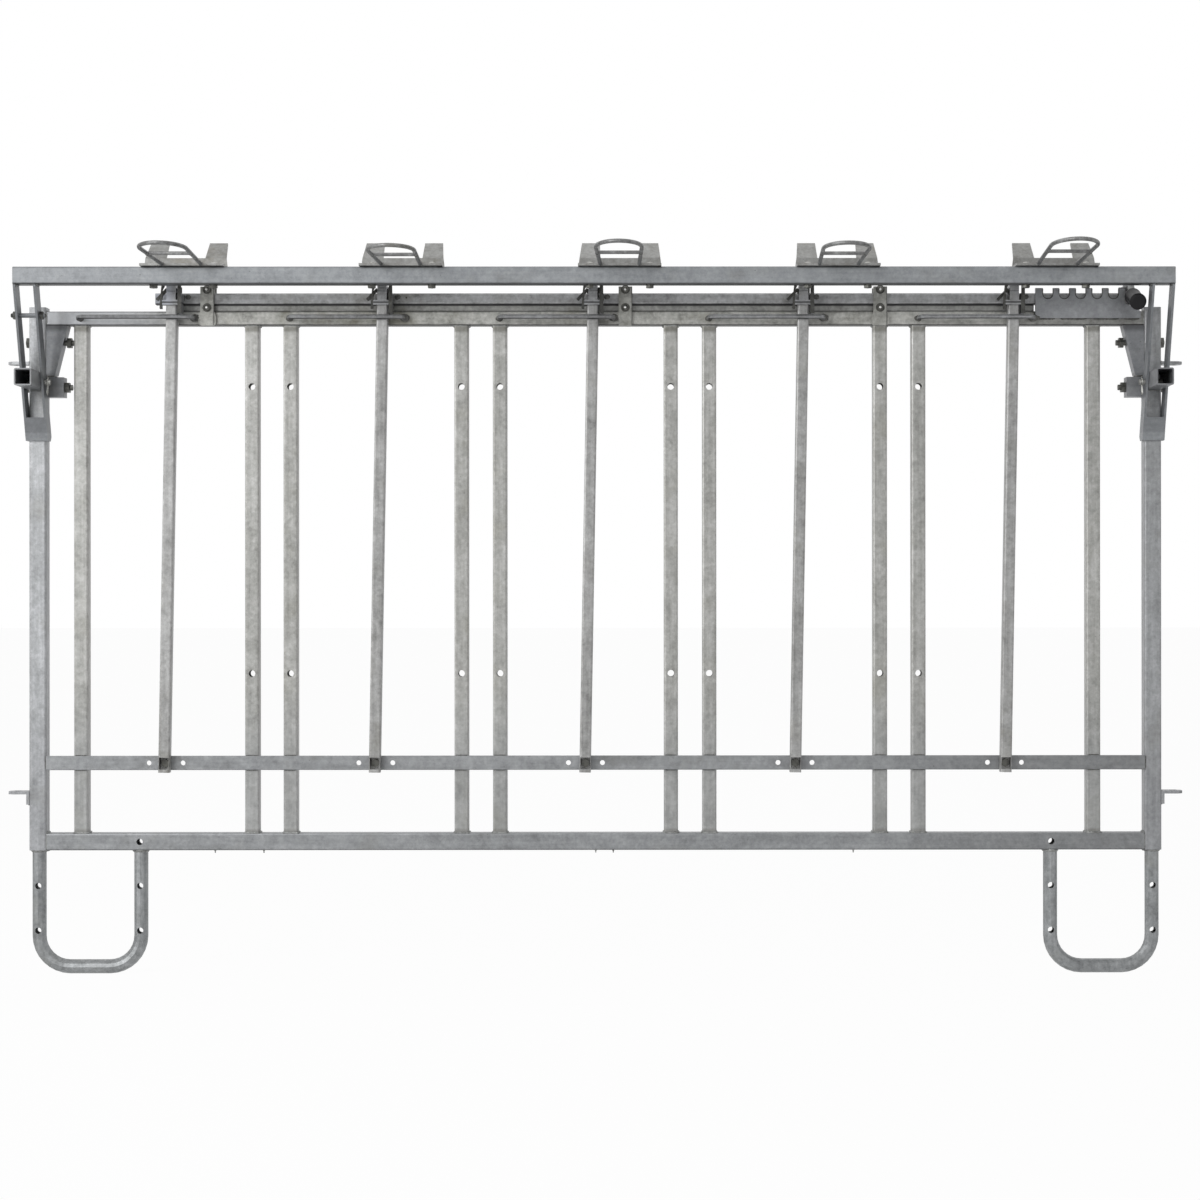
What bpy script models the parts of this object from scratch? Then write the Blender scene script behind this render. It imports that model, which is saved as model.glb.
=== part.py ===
"""Calf headlock: a galvanised feed-front panel with five neck places.

The panel stands in its own frame: X runs along it, the calves stand at +Y, the feed side and the
holders face -Y, and Z is up. The origin is under the middle of the whole object, on the ground.
Places across the panel are measured from the front face of the posts (panel frame), which an
empty carries to its place in the world.
"""

import math

import bmesh
import bpy
from mathutils import Matrix, Vector

# Overall sizes, in metres
PANEL_WIDTH = 2.000
TOP_RAIL_TOP_Z = 1.171
RAIL_BOTTOM_Z = 0.219

# Gaps between pieces
TOUCH_GAP = 0.0003
RUNNING_GAP = 0.0006
PIN_CLEARANCE = 0.0003
OVERLAP = 0.0006
WELD_DISTANCE = 0.00001

# Square tubes: side, wall and outer corner radius
POST_SIDE = 0.030
POST_WALL = 0.002
TOP_RAIL_SIDE = 0.025
BAR_SIDE = 0.025
BAR_WALL = 0.002
YOKE_SIDE = 0.020
YOKE_WALL = 0.0015
SLIDE_SIDE = 0.020
SLIDE_WALL = 0.002
CORNER_RADIUS = 0.003
CORNER_STEPS = 2

# The neck places
PLACE_COUNT = 5
FIRST_BAR_GAP = 0.0485
LAST_PLACE_REACH = 0.248
PAIR_GAP = 0.043
LAST_VERTICAL_SHIFT = 0.007
VERTICAL_HOLE_RADIUS = 0.006
VERTICAL_HOLE_RISE = 0.282
VERTICAL_HOLE_DROP = 0.108

# Rails and the flat cross bar that carries the yokes
POST_STAND = 0.007
CROSS_BAR_RISE = 0.1245
CROSS_BAR_HEIGHT = 0.025
CROSS_BAR_THICKNESS = 0.005
SPARE_HOLE_RADIUS = 0.0045
SPARE_HOLE_OFFSET = 0.030
VENT_HOLE_RADIUS = 0.0057

# Legs
LEG_INSET = 0.0025
LEG_WALL = 0.0022
LEG_SPREAD = 0.180
LEG_BEND_RADIUS = 0.055
LEG_BEND_STEPS = 8
LEG_SIDES_RESOLUTION = 4
LEG_HOLE_HEIGHTS = (0.077, 0.156)

# Link lugs on the outer sides of the posts
LUG_REACH = 0.038
LUG_THICKNESS = 0.005
LUG_HOLE_RADIUS = 0.0065
LUG_HOLE_REACH = 0.023
LUG_CORNER = 0.008
LUG_RISE = 0.069
LUG_DROP = 0.094
LUG_LEG_DROP = 0.018

# Yokes: they swing on a bolt in the cross bar and lean to the right when shut
YOKE_LEAN = math.radians(1.0)
YOKE_RISE = 0.0025
YOKE_BOTTOM_REACH = 0.016
YOKE_WINDOW_HEIGHT = 0.021
PIVOT_BOLT_RADIUS = 0.004
PIVOT_HEAD_FLATS = 0.013
PIVOT_HEAD_THICKNESS = 0.0053
PIVOT_NUT_THICKNESS = 0.0065

# Guide rods in front of the yokes
GUIDE_ROD_RADIUS = 0.004
GUIDE_ROD_DROP = 0.013
GUIDE_ROD_RIGHT = 0.050
GUIDE_ROD_BEND = 0.012
GUIDE_ROD_PLAY = 0.0013
BEND_STEPS = 4

# Slide bar, its runner and its guides
SLIDE_LEFT_REACH = 0.0195
SLIDE_RIGHT_REACH = 0.013
RUNNER_HEIGHT = 0.0117
RUNNER_DEPTH = 0.012
RUNNER_LEFT_REACH = 0.028
RUNNER_END_GAP = 0.001
LEFT_GUIDE_REACH = 0.073
MIDDLE_GUIDE_REACH = 0.071
GUIDE_WIDTH = 0.024
GUIDE_FOOT_RADIUS = 0.016
GUIDE_PLATE = 0.005
GUIDE_BACK_PLATE = 0.004
GUIDE_STAND = 0.011
GUIDE_BOLT_RADIUS = 0.004
GUIDE_HEAD_RADIUS = 0.0055
GUIDE_HEAD_THICKNESS = 0.0035
GUIDE_UPPER_BOLT_RISE = 0.0055

# Catches on the slide bar, one above each yoke
STRAP_THICKNESS = 0.005
HOOD_WIDTH = 0.016
HOOD_STAND = 0.011
HOOD_LAP = 0.0132
BAND_HEIGHT = 0.008
BAND_DROP = 0.004
BAND_SIDE_REACH = 0.0055
STOP_PLAY = 0.0025
STOP_DROP = 0.019
YOKE_FRONT_PLAY = 0.0008

# Gravity pawls inside the catches, drawn as they hang when they lock
PAWL_PIN_RADIUS = 0.003
PAWL_PIN_OFFSET = 0.004
PAWL_PIN_DROP = 0.007
PAWL_THICKNESS = 0.006
PAWL_EYE_RADIUS = 0.0065
PAWL_PLAY = 0.0015
PAWL_NOSE_WIDTH = 0.005
PAWL_NOSE_DROP = 0.027
PAWL_ARM_TOP = 0.0005
PAWL_ARM_BOTTOM = 0.0062
PAWL_HELD_UP = math.radians(43.5)

# Notched plate and the lever that drops into it
NOTCH_COUNT = 5
NOTCH_PITCH = 0.029
NOTCH_RADIUS = 0.009
NOTCH_STEPS = 6
NOTCH_FLOOR_DROP = 0.011
FIRST_NOTCH_REACH = 0.077
PLATE_LEFT_REACH = 0.022
PLATE_RIGHT_REACH = 0.019
PLATE_STAND = 0.008
PLATE_LAP = 0.013
PLATE_THICKNESS = 0.005
SEAT_FLOOR_DROP = 0.0182
PLATE_TIP_DROP = 0.0323
LEVER_PIN_RADIUS = 0.003
LEVER_PIN_REACH = 0.0132
LEVER_PIN_STAND = 0.007
LEVER_EYE_RADIUS = 0.008
LEVER_EYE_WIDTH = 0.016
LEVER_EAR = 0.004
LEVER_EAR_DROP = 0.014
LEVER_ROD_RADIUS = 0.006
LEVER_TOOTH_CLEARANCE = 0.001
GRIP_RADIUS = 0.0145
GRIP_LENGTH = 0.055
GRIP_ROUND = 0.0015
GRIP_START_REACH = 0.0282
GRIP_START_DROP = 0.009
GRIP_SLOPE = math.radians(18)
GRIP_BORE_DEPTH = 0.048

# Top bar on its two leaning arms
TOP_BAR_OVERHANG = 0.005
TOP_BAR_SIDE = 0.030
TOP_BAR_FRONT_Y = -0.095
TOP_BAR_RISE = 0.029
ARM_LENGTH = 0.265
ARM_FOOT_Y = -0.0046
ARM_SHEET = 0.004
ARM_PLAY = 0.0005
ARM_WEB_HEIGHT = 0.040
ARM_CHAMFER = 0.008
ARM_PIVOT_Y = -0.024
ARM_PIVOT_DROP = 0.164
ARM_PIN_RADIUS = 0.005
ARM_PIN_HEAD_RADIUS = 0.008
ARM_PIN_HEAD = 0.004
TIE_BOLT_DROP = 0.051
TIE_BOLT_RADIUS = 0.004
TIE_BOLT_FLATS = 0.013

# Square sockets in front of the posts
SOCKET_PLAY = 0.0005
SOCKET_WALL = 0.0025
SOCKET_REACH = 0.104
SOCKET_RISE = 0.003

# Corner brackets and their bolts
GUSSET_SHEET = 0.004
GUSSET_TOP_REACH = 0.038
GUSSET_FOOT_REACH = 0.016
GUSSET_HEIGHT = 0.088
GUSSET_FRONT_Y = 0.001
GUSSET_DEPTH = 0.026
BLOCK_LENGTH = 0.031
BLOCK_HEIGHT = 0.035
BLOCK_DROP = 0.0915
BLOCK_WALL = 0.003
CLAMP_BOLT_RADIUS = 0.005
CLAMP_BOLT_DROPS = (0.109, 0.030)
CLAMP_HEAD_FLATS = 0.017
CLAMP_HEAD_THICKNESS = 0.0064
CLAMP_NUT_THICKNESS = 0.008

# Holders on the top bar
FIRST_HOLDER_REACH = 0.293
LAST_HOLDER_REACH = 0.205
HOLDER_WIDTH = 0.144
HOLDER_DEPTH = 0.050
HOLDER_SHEET = 0.004
HOLDER_STRIP_HEIGHT = 0.015
HOLDER_STRIP_WIDTH = 0.141
EAR_FOOT_WIDTH = 0.0365
EAR_TOP_WIDTH = 0.0315
EAR_TOP_OUTER = 0.067
EAR_LENGTH = 0.048
EAR_LEAN = math.radians(50)
HOOP_ROD_RADIUS = 0.0035
HOOP_FOOT_HALF_WIDTH = 0.0335
HOOP_FRONT_HALF_WIDTH = 0.0383
HOOP_FOOT_REACH = 0.0015
HOOP_FOOT_LEVEL = 0.003
HOOP_REACH = 0.224
HOOP_NOSE_DEPTH = 0.057
HOOP_NOSE_STEPS = 12
HOOP_RISE = 0.05
HOOP_CROSS_REACH = 0.117

# Places worked out from the sizes above
POST_X = (PANEL_WIDTH - POST_SIDE) / 2
POST_INNER_X = POST_X - POST_SIDE / 2
POST_OUTER_X = POST_X + POST_SIDE / 2
POST_MIDDLE_Y = POST_SIDE / 2
LEG_RADIUS = POST_SIDE / 2 - LEG_INSET
POST_TOP_Z = TOP_RAIL_TOP_Z + POST_STAND
RAIL_TOP_Z = RAIL_BOTTOM_Z + POST_SIDE
TOP_RAIL_BOTTOM_Z = TOP_RAIL_TOP_Z - TOP_RAIL_SIDE
TOP_RAIL_FRONT_Y = POST_MIDDLE_Y - TOP_RAIL_SIDE / 2
PLATE_BACK_Y = TOP_RAIL_FRONT_Y - TOUCH_GAP
PLATE_FRONT_Y = PLATE_BACK_Y - PLATE_THICKNESS
FIRST_BAR_REACH = FIRST_BAR_GAP + BAR_SIDE / 2
PAIR_SPACING = PAIR_GAP + BAR_SIDE
PLACES_SPAN = 2 * POST_INNER_X - FIRST_BAR_REACH + PAIR_SPACING / 2 - LAST_PLACE_REACH
PLACE_PITCH = PLACES_SPAN / (PLACE_COUNT - 0.5)
PLACE_HALF_WIDTH = (PLACE_PITCH - PAIR_SPACING) / 2
FIRST_PLACE_X = FIRST_BAR_REACH + PLACE_HALF_WIDTH - POST_INNER_X
PLACE_XS = [FIRST_PLACE_X + n * PLACE_PITCH for n in range(PLACE_COUNT)]
VERTICAL_HOLE_HEIGHTS = (RAIL_TOP_Z + VERTICAL_HOLE_RISE, TOP_RAIL_BOTTOM_Z - VERTICAL_HOLE_DROP)
LUG_HEIGHTS = (RAIL_TOP_Z + LUG_RISE, TOP_RAIL_TOP_Z - LUG_DROP)
CROSS_BAR_MIDDLE_Z = RAIL_TOP_Z + CROSS_BAR_RISE
BAR_FRONT_Y = POST_MIDDLE_Y - BAR_SIDE / 2
BAR_BACK_Y = POST_MIDDLE_Y + BAR_SIDE / 2
CROSS_BAR_BACK_Y = BAR_FRONT_Y - TOUCH_GAP
CROSS_BAR_FRONT_Y = CROSS_BAR_BACK_Y - CROSS_BAR_THICKNESS
YOKE_BACK_Y = CROSS_BAR_FRONT_Y - TOUCH_GAP
YOKE_MIDDLE_Y = YOKE_BACK_Y - YOKE_SIDE / 2
YOKE_FRONT_Y = YOKE_BACK_Y - YOKE_SIDE
GUIDE_ROD_Y = YOKE_FRONT_Y - GUIDE_ROD_PLAY - GUIDE_ROD_RADIUS
GUIDE_ROD_Z = TOP_RAIL_TOP_Z - GUIDE_ROD_DROP
GUIDE_ROD_LEFT = -PLACE_HALF_WIDTH
SLIDE_FRONT_Y = PLATE_BACK_Y + RUNNING_GAP
SLIDE_MIDDLE_Y = SLIDE_FRONT_Y + SLIDE_SIDE / 2
SLIDE_BACK_Y = SLIDE_FRONT_Y + SLIDE_SIDE
SLIDE_BOTTOM_Z = TOP_RAIL_TOP_Z + RUNNER_HEIGHT + TOUCH_GAP
SLIDE_TOP_Z = SLIDE_BOTTOM_Z + SLIDE_SIDE
YOKE_TOP_REACH = SLIDE_BOTTOM_Z - CROSS_BAR_MIDDLE_Z + YOKE_RISE
GUIDE_TOP_Z = SLIDE_TOP_Z + GUIDE_STAND
GUIDE_XS = (
    PLACE_XS[0] + LEFT_GUIDE_REACH,
    PLACE_XS[2] + MIDDLE_GUIDE_REACH,
    PLACE_XS[3] + PLACE_HALF_WIDTH,
)
HOOD_TOP_Z = SLIDE_TOP_Z + HOOD_STAND
HOOD_BACK_Y = SLIDE_FRONT_Y + HOOD_LAP
BAND_BOTTOM_Z = SLIDE_BOTTOM_Z - BAND_DROP
BAND_LEFT = YOKE_SIDE / 2 + BAND_SIDE_REACH
STOP_BOTTOM_Z = SLIDE_BOTTOM_Z - STOP_DROP
PAWL_PIN_Z = SLIDE_TOP_Z - PAWL_PIN_DROP
PAWL_NOSE_IN = YOKE_SIDE / 2 + PAWL_PIN_OFFSET + PAWL_PLAY
PAWL_NOSE_OUT = PAWL_NOSE_IN + PAWL_NOSE_WIDTH
STRAP_BACK_Y = YOKE_FRONT_Y - YOKE_FRONT_PLAY
STRAP_FRONT_Y = STRAP_BACK_Y - STRAP_THICKNESS
FIRST_NOTCH_X = PLACE_XS[-1] + FIRST_NOTCH_REACH
LEVER_X = FIRST_NOTCH_X + NOTCH_COUNT * NOTCH_PITCH
NOTCH_BOTTOM_Z = SLIDE_TOP_Z - NOTCH_FLOOR_DROP
PLATE_LEFT_X = FIRST_NOTCH_X - PLATE_LEFT_REACH
PLATE_RIGHT_X = LEVER_X + PLATE_RIGHT_REACH
PLATE_TOP_Z = SLIDE_TOP_Z + PLATE_STAND
PLATE_BOTTOM_Z = TOP_RAIL_TOP_Z - PLATE_LAP
PLATE_TIP_Z = SLIDE_TOP_Z - PLATE_TIP_DROP
SEAT_FLOOR_Z = SLIDE_TOP_Z - SEAT_FLOOR_DROP
SLIDE_LEFT_X = PLACE_XS[0] - SLIDE_LEFT_REACH
SLIDE_RIGHT_X = LEVER_X + SLIDE_RIGHT_REACH
RUNNER_LEFT_X = PLACE_XS[0] + RUNNER_LEFT_REACH
RUNNER_RIGHT_X = PLATE_LEFT_X - RUNNER_END_GAP
LEVER_PIN_Y = SLIDE_BACK_Y + LEVER_PIN_REACH
LEVER_PIN_Z = SLIDE_TOP_Z + LEVER_PIN_STAND
LEVER_EAR_BOTTOM_Z = SLIDE_TOP_Z - LEVER_EAR_DROP
GRIP_START_Y = PLATE_BACK_Y - GRIP_START_REACH
GRIP_START_Z = SLIDE_TOP_Z - GRIP_START_DROP
LEVER_ROD_Z = PLATE_TOP_Z + LEVER_TOOTH_CLEARANCE + LEVER_ROD_RADIUS
TOP_BAR_LENGTH = PANEL_WIDTH + 2 * TOP_BAR_OVERHANG
TOP_BAR_BOTTOM_Z = POST_TOP_Z + TOP_BAR_RISE
TOP_BAR_TOP_Z = TOP_BAR_BOTTOM_Z + TOP_BAR_SIDE
TOP_BAR_MIDDLE_Y = TOP_BAR_FRONT_Y + TOP_BAR_SIDE / 2
ARM_HALF_GAP = POST_SIDE / 2 + ARM_PLAY
SOCKET_SIDE = 2 * (ARM_HALF_GAP - SOCKET_PLAY)
ARM_BOTTOM_Z = TOP_BAR_BOTTOM_Z - ARM_LENGTH
ARM_PIVOT_Z = TOP_BAR_BOTTOM_Z - ARM_PIVOT_DROP
TIE_BOLT_Z = TOP_BAR_BOTTOM_Z - TIE_BOLT_DROP
SOCKET_MIDDLE_Z = ARM_PIVOT_Z + SOCKET_RISE
GUSSET_FOOT_Z = TOP_RAIL_BOTTOM_Z - GUSSET_HEIGHT
BLOCK_TOP_Z = TOP_RAIL_BOTTOM_Z - BLOCK_DROP
BLOCK_BOTTOM_Z = BLOCK_TOP_Z - BLOCK_HEIGHT
CLAMP_BOLT_HEIGHTS = [TOP_RAIL_BOTTOM_Z - drop for drop in CLAMP_BOLT_DROPS]
ARM_SLOPE = (ARM_FOOT_Y - TOP_BAR_FRONT_Y) / (TOP_BAR_BOTTOM_Z - ARM_BOTTOM_Z)
HOLDER_SPAN = TOP_BAR_LENGTH - FIRST_HOLDER_REACH - LAST_HOLDER_REACH
HOLDER_PITCH = HOLDER_SPAN / (PLACE_COUNT - 1)
FIRST_HOLDER_X = FIRST_HOLDER_REACH - TOP_BAR_LENGTH / 2
HOLDER_BACK_Y = TOP_BAR_MIDDLE_Y + HOLDER_DEPTH / 2
HOLDER_FRONT_Y = HOLDER_BACK_Y - HOLDER_DEPTH
HOLDER_BOTTOM_Z = TOP_BAR_TOP_Z + TOUCH_GAP
HOLDER_TOP_Z = HOLDER_BOTTOM_Z + HOLDER_SHEET
HOOP_FOOT_Y = TOP_BAR_FRONT_Y - HOOP_FOOT_REACH
HOOP_FOOT_Z = HOLDER_BOTTOM_Z + HOOP_ROD_RADIUS - TOUCH_GAP
HOOP_FRONT_Y = TOP_BAR_FRONT_Y - HOOP_REACH
OBJECT_FRONT_Y = HOOP_FRONT_Y - HOOP_ROD_RADIUS
OBJECT_BACK_Y = LEVER_PIN_Y + LEVER_EYE_RADIUS
PANEL_SHIFT_Y = -(OBJECT_FRONT_Y + OBJECT_BACK_Y) / 2

GALVANISED = ("galvanised_steel", (0.50, 0.52, 0.53), 0.45, 0.75)
GALVANISED_PLATE = ("galvanised_plate", (0.46, 0.47, 0.46), 0.5, 0.7)
ZINC = ("zinc_plated_fastener", (0.42, 0.42, 0.40), 0.4, 0.8)
BLACK_PLASTIC = ("black_plastic", (0.02, 0.02, 0.02), 0.5, 0.0)

PLANES = {
    "XY": Matrix.Identity(4),
    "XZ": Matrix(((1, 0, 0, 0), (0, 0, -1, 0), (0, 1, 0, 0), (0, 0, 0, 1))),
    "YZ": Matrix(((0, 0, 1, 0), (1, 0, 0, 0), (0, 1, 0, 0), (0, 0, 0, 1))),
}
AXES = {
    "X": Matrix.Rotation(math.pi / 2, 4, "Y"),
    "Y": Matrix.Rotation(-math.pi / 2, 4, "X"),
    "Z": Matrix.Identity(4),
}


def clear_scene():
    """Remove whatever the scene holds."""
    for obj in list(bpy.data.objects):
        bpy.data.objects.remove(obj, do_unlink=True)


def new_collection(name):
    """Make a collection under the scene's own."""
    collection = bpy.data.collections.new(name)
    bpy.context.scene.collection.children.link(collection)
    return collection


def material(finish):
    """The Principled material of a finish, made once."""
    name, colour, roughness, metallic = finish
    found = bpy.data.materials.get(name)
    if found:
        return found
    made = bpy.data.materials.new(name)
    made.use_nodes = True
    shader = made.node_tree.nodes["Principled BSDF"]
    shader.inputs["Base Color"].default_value = (*colour, 1.0)
    shader.inputs["Roughness"].default_value = roughness
    shader.inputs["Metallic"].default_value = metallic
    return made


class Workshop:
    """Holds the collections and the empties, and puts pieces in place."""

    def __init__(self):
        self.parts = new_collection("calf_headlock")
        self.cutters = new_collection("cutters")
        self.panel = self.empty("panel_front", None, (0, PANEL_SHIFT_Y, 0))
        self.arm_pivot = self.empty("top_bar_pivot", self.panel, (0, ARM_PIVOT_Y, ARM_PIVOT_Z))

    def empty(self, name, parent, location):
        """An empty that carries other objects."""
        empty = bpy.data.objects.new(name, None)
        self.parts.objects.link(empty)
        empty.parent = parent
        empty.location = location
        empty.empty_display_size = 0.05
        return empty

    def add(self, name, mesh, finish, location=(0, 0, 0), parent=None, rotation=(0, 0, 0)):
        """A visible piece: its location is in its parent's frame, by default the panel's."""
        obj = bpy.data.objects.new(name, mesh)
        self.parts.objects.link(obj)
        obj.parent = parent or self.panel
        obj.location = location
        obj.rotation_euler = rotation
        mesh.materials.clear()
        mesh.materials.append(material(finish))
        return obj

    def operand(self, target, mesh, operation):
        """Cut a shape from a piece or join it on, the shape being drawn in the piece's own frame."""
        helper = bpy.data.objects.new(target.name + "_" + operation.lower(), mesh)
        self.cutters.objects.link(helper)
        helper.parent = target
        helper.hide_render = True
        helper.display_type = "WIRE"
        modifier = target.modifiers.new(operation.title(), "BOOLEAN")
        modifier.operation = operation
        modifier.object = helper
        modifier.solver = "EXACT"

    def cut(self, target, *meshes):
        """Cut shapes away from a piece."""
        for mesh in meshes:
            self.operand(target, mesh, "DIFFERENCE")

    def join(self, target, *meshes):
        """Join shapes on to a piece, as a weld does."""
        for mesh in meshes:
            self.operand(target, mesh, "UNION")


def finish_mesh(mesh, bm, smooth=False):
    """Write a bmesh into a mesh with its normals out, and shade its round faces smooth."""
    bmesh.ops.recalc_face_normals(bm, faces=bm.faces)
    bm.to_mesh(mesh)
    bm.free()
    if smooth:
        mesh.shade_smooth()
        mesh.set_sharp_from_angle(angle=math.radians(40))
    return mesh


def box(name, low, high):
    """A box between two corners."""
    low = Vector(low)
    high = Vector(high)
    bm = bmesh.new()
    middle = Matrix.Translation((low + high) / 2)
    bmesh.ops.create_cube(bm, size=1.0, matrix=middle @ Matrix.Diagonal((*(high - low), 1.0)))
    return finish_mesh(bpy.data.meshes.new(name), bm)


def cylinder(name, radius, start, end, axis, centre, sides=12, top_radius=None):
    """A round or many-sided bar along an axis, from start to end, centred on the other two."""
    bm = bmesh.new()
    along = {"X": (1, 0, 0), "Y": (0, 1, 0), "Z": (0, 0, 1)}[axis]
    middle = Vector(centre) + Vector(along) * (start + end) / 2
    bmesh.ops.create_cone(
        bm,
        cap_ends=True,
        segments=sides,
        radius1=radius,
        radius2=radius if top_radius is None else top_radius,
        depth=abs(end - start),
        matrix=Matrix.Translation(middle) @ AXES[axis],
    )
    return finish_mesh(bpy.data.meshes.new(name), bm, smooth=sides > 6)


def hexagon(name, flats, start, end, axis, centre):
    """A hexagon bar, sized across its flats."""
    return cylinder(name, flats / math.sqrt(3), start, end, axis, centre, sides=6)


def tube_shell(name, side, length, axis, corner=CORNER_RADIUS):
    """The open outer skin of a square tube that starts at the origin and runs along an axis."""
    bm = bmesh.new()
    scale = Matrix.Diagonal((side, side, length, 1.0))
    bmesh.ops.create_cube(bm, size=1.0, matrix=Matrix.Translation((0, 0, length / 2)) @ scale)
    ends = [face for face in bm.faces if abs(face.normal.z) > 0.5]
    bmesh.ops.delete(bm, geom=ends, context="FACES_ONLY")
    long_edges = [edge for edge in bm.edges if abs(edge.verts[0].co.z - edge.verts[1].co.z) > side / 2]
    bmesh.ops.bevel(bm, geom=long_edges, offset=corner, segments=CORNER_STEPS, profile=0.5, affect="EDGES")
    bmesh.ops.transform(bm, matrix=AXES[axis], verts=bm.verts)
    mesh = bpy.data.meshes.new(name)
    bm.to_mesh(mesh)
    bm.free()
    mesh.shade_smooth()
    mesh.set_sharp_from_angle(angle=math.radians(60))
    return mesh


def add_wall(obj, wall):
    """Give an open skin its wall thickness, inwards."""
    modifier = obj.modifiers.new("Wall", "SOLIDIFY")
    modifier.thickness = wall
    modifier.offset = -1.0
    modifier.use_even_offset = True


def mesh_from_curve(name, curve):
    """Turn a curve into a welded mesh."""
    guide = bpy.data.objects.new(name, curve)
    bpy.context.scene.collection.objects.link(guide)
    graph = bpy.context.evaluated_depsgraph_get()
    mesh = bpy.data.meshes.new_from_object(guide.evaluated_get(graph))
    mesh.name = name
    bpy.data.objects.remove(guide, do_unlink=True)
    return mesh


def weld_mesh(mesh, transform=None):
    """Weld a mesh's loose caps, after turning it with a matrix, and leave flat faces flat."""
    bm = bmesh.new()
    bm.from_mesh(mesh)
    if transform is not None:
        bmesh.ops.transform(bm, matrix=transform, verts=bm.verts)
    bmesh.ops.remove_doubles(bm, verts=bm.verts, dist=WELD_DISTANCE)
    return finish_mesh(mesh, bm, smooth=True)


def plate(name, outlines, thickness, plane, near):
    """A flat plate: outlines drawn in a plane, the first the rim and the rest holes.

    The plate lies between near and near + thickness along the plane's normal axis.
    """
    curve = bpy.data.curves.new(name, "CURVE")
    curve.dimensions = "2D"
    curve.fill_mode = "BOTH"
    curve.extrude = thickness / 2
    for points in outlines:
        spline = curve.splines.new("POLY")
        spline.points.add(len(points) - 1)
        for knot, (across, up) in zip(spline.points, points):
            knot.co = (across, up, 0.0, 1.0)
        spline.use_cyclic_u = True
    middle = near + thickness / 2
    shift = {"XY": (0, 0, middle), "XZ": (0, middle, 0), "YZ": (middle, 0, 0)}[plane]
    return weld_mesh(mesh_from_curve(name, curve), Matrix.Translation(shift) @ PLANES[plane])


def rod_curve(name, points, radius, resolution=2, caps=True):
    """A round bar along a run of points, as a bevelled curve."""
    curve = bpy.data.curves.new(name, "CURVE")
    curve.dimensions = "3D"
    curve.bevel_depth = radius
    curve.bevel_resolution = resolution
    curve.use_fill_caps = caps
    spline = curve.splines.new("POLY")
    spline.points.add(len(points) - 1)
    for knot, point in zip(spline.points, points):
        knot.co = (*point, 1.0)
    return curve


def rod(name, points, radius, resolution=2, caps=True):
    """A round bar along a run of points, as a mesh."""
    return weld_mesh(mesh_from_curve(name, rod_curve(name, points, radius, resolution, caps)))


def arc(centre, radius, start, end, steps):
    """Points of a flat arc, angles in degrees."""
    angles = [math.radians(start + (end - start) * step / steps) for step in range(steps + 1)]
    return [(centre[0] + radius * math.cos(a), centre[1] + radius * math.sin(a)) for a in angles]


def ring(centre, radius, steps=12):
    """Points of a full circle."""
    return arc(centre, radius, 0, 360 * (steps - 1) / steps, steps - 1)


def place_x(index):
    """The middle of a neck place."""
    return PLACE_XS[index]


def yoke_top_x(index):
    """Where the middle of a shut yoke's top lies."""
    return place_x(index) + YOKE_TOP_REACH * math.sin(YOKE_LEAN)


def vertical_xs():
    """The middles of the fixed verticals, two to a place."""
    xs = []
    for index in range(PLACE_COUNT):
        xs.append(place_x(index) - PLACE_HALF_WIDTH)
        xs.append(place_x(index) + PLACE_HALF_WIDTH)
    xs[-1] += LAST_VERTICAL_SHIFT
    return xs


def lug_meshes(side, height, has_leg):
    """A link lug of a post, drawn in the frame of a post whose foot is at its origin."""
    inner = POST_SIDE / 2 - OVERLAP
    outer = POST_SIDE / 2 + LUG_REACH
    half = POST_SIDE / 2
    rim = [(inner, -half), (outer - LUG_CORNER, -half), (outer, LUG_CORNER - half)]
    rim += [(outer, half - LUG_CORNER), (outer - LUG_CORNER, half), (inner, half)]
    hole = ring((POST_SIDE / 2 + LUG_HOLE_REACH, 0), LUG_HOLE_RADIUS)
    outlines = [[(side * x, y) for x, y in points] for points in (rim, hole)]
    bottom = height - RAIL_BOTTOM_Z
    meshes = [plate("lug", outlines, LUG_THICKNESS, "XY", bottom)]
    if has_leg:
        near, far = sorted((side * inner, side * (POST_SIDE / 2 + LUG_THICKNESS)))
        low = (near, -half, bottom - LUG_LEG_DROP)
        meshes.append(box("lug_leg", low, (far, half, bottom + LUG_THICKNESS / 2)))
    return meshes


def make_posts(shop):
    """The two posts, each with its two link lugs and the holes for the clamp bolts."""
    for name, side in (("left_post", -1), ("right_post", 1)):
        shell = tube_shell(name, POST_SIDE, POST_TOP_Z - RAIL_BOTTOM_Z, "Z")
        post = shop.add(name, shell, GALVANISED, (side * POST_X, POST_MIDDLE_Y, RAIL_BOTTOM_Z))
        add_wall(post, POST_WALL)
        for height in CLAMP_BOLT_HEIGHTS:
            centre = (0, 0, height - RAIL_BOTTOM_Z)
            radius = CLAMP_BOLT_RADIUS + PIN_CLEARANCE
            shop.cut(post, cylinder("clamp_hole", radius, -POST_SIDE, POST_SIDE, "X", centre))
        for height in LUG_HEIGHTS:
            shop.join(post, *lug_meshes(side, height, height == LUG_HEIGHTS[0]))


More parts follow.
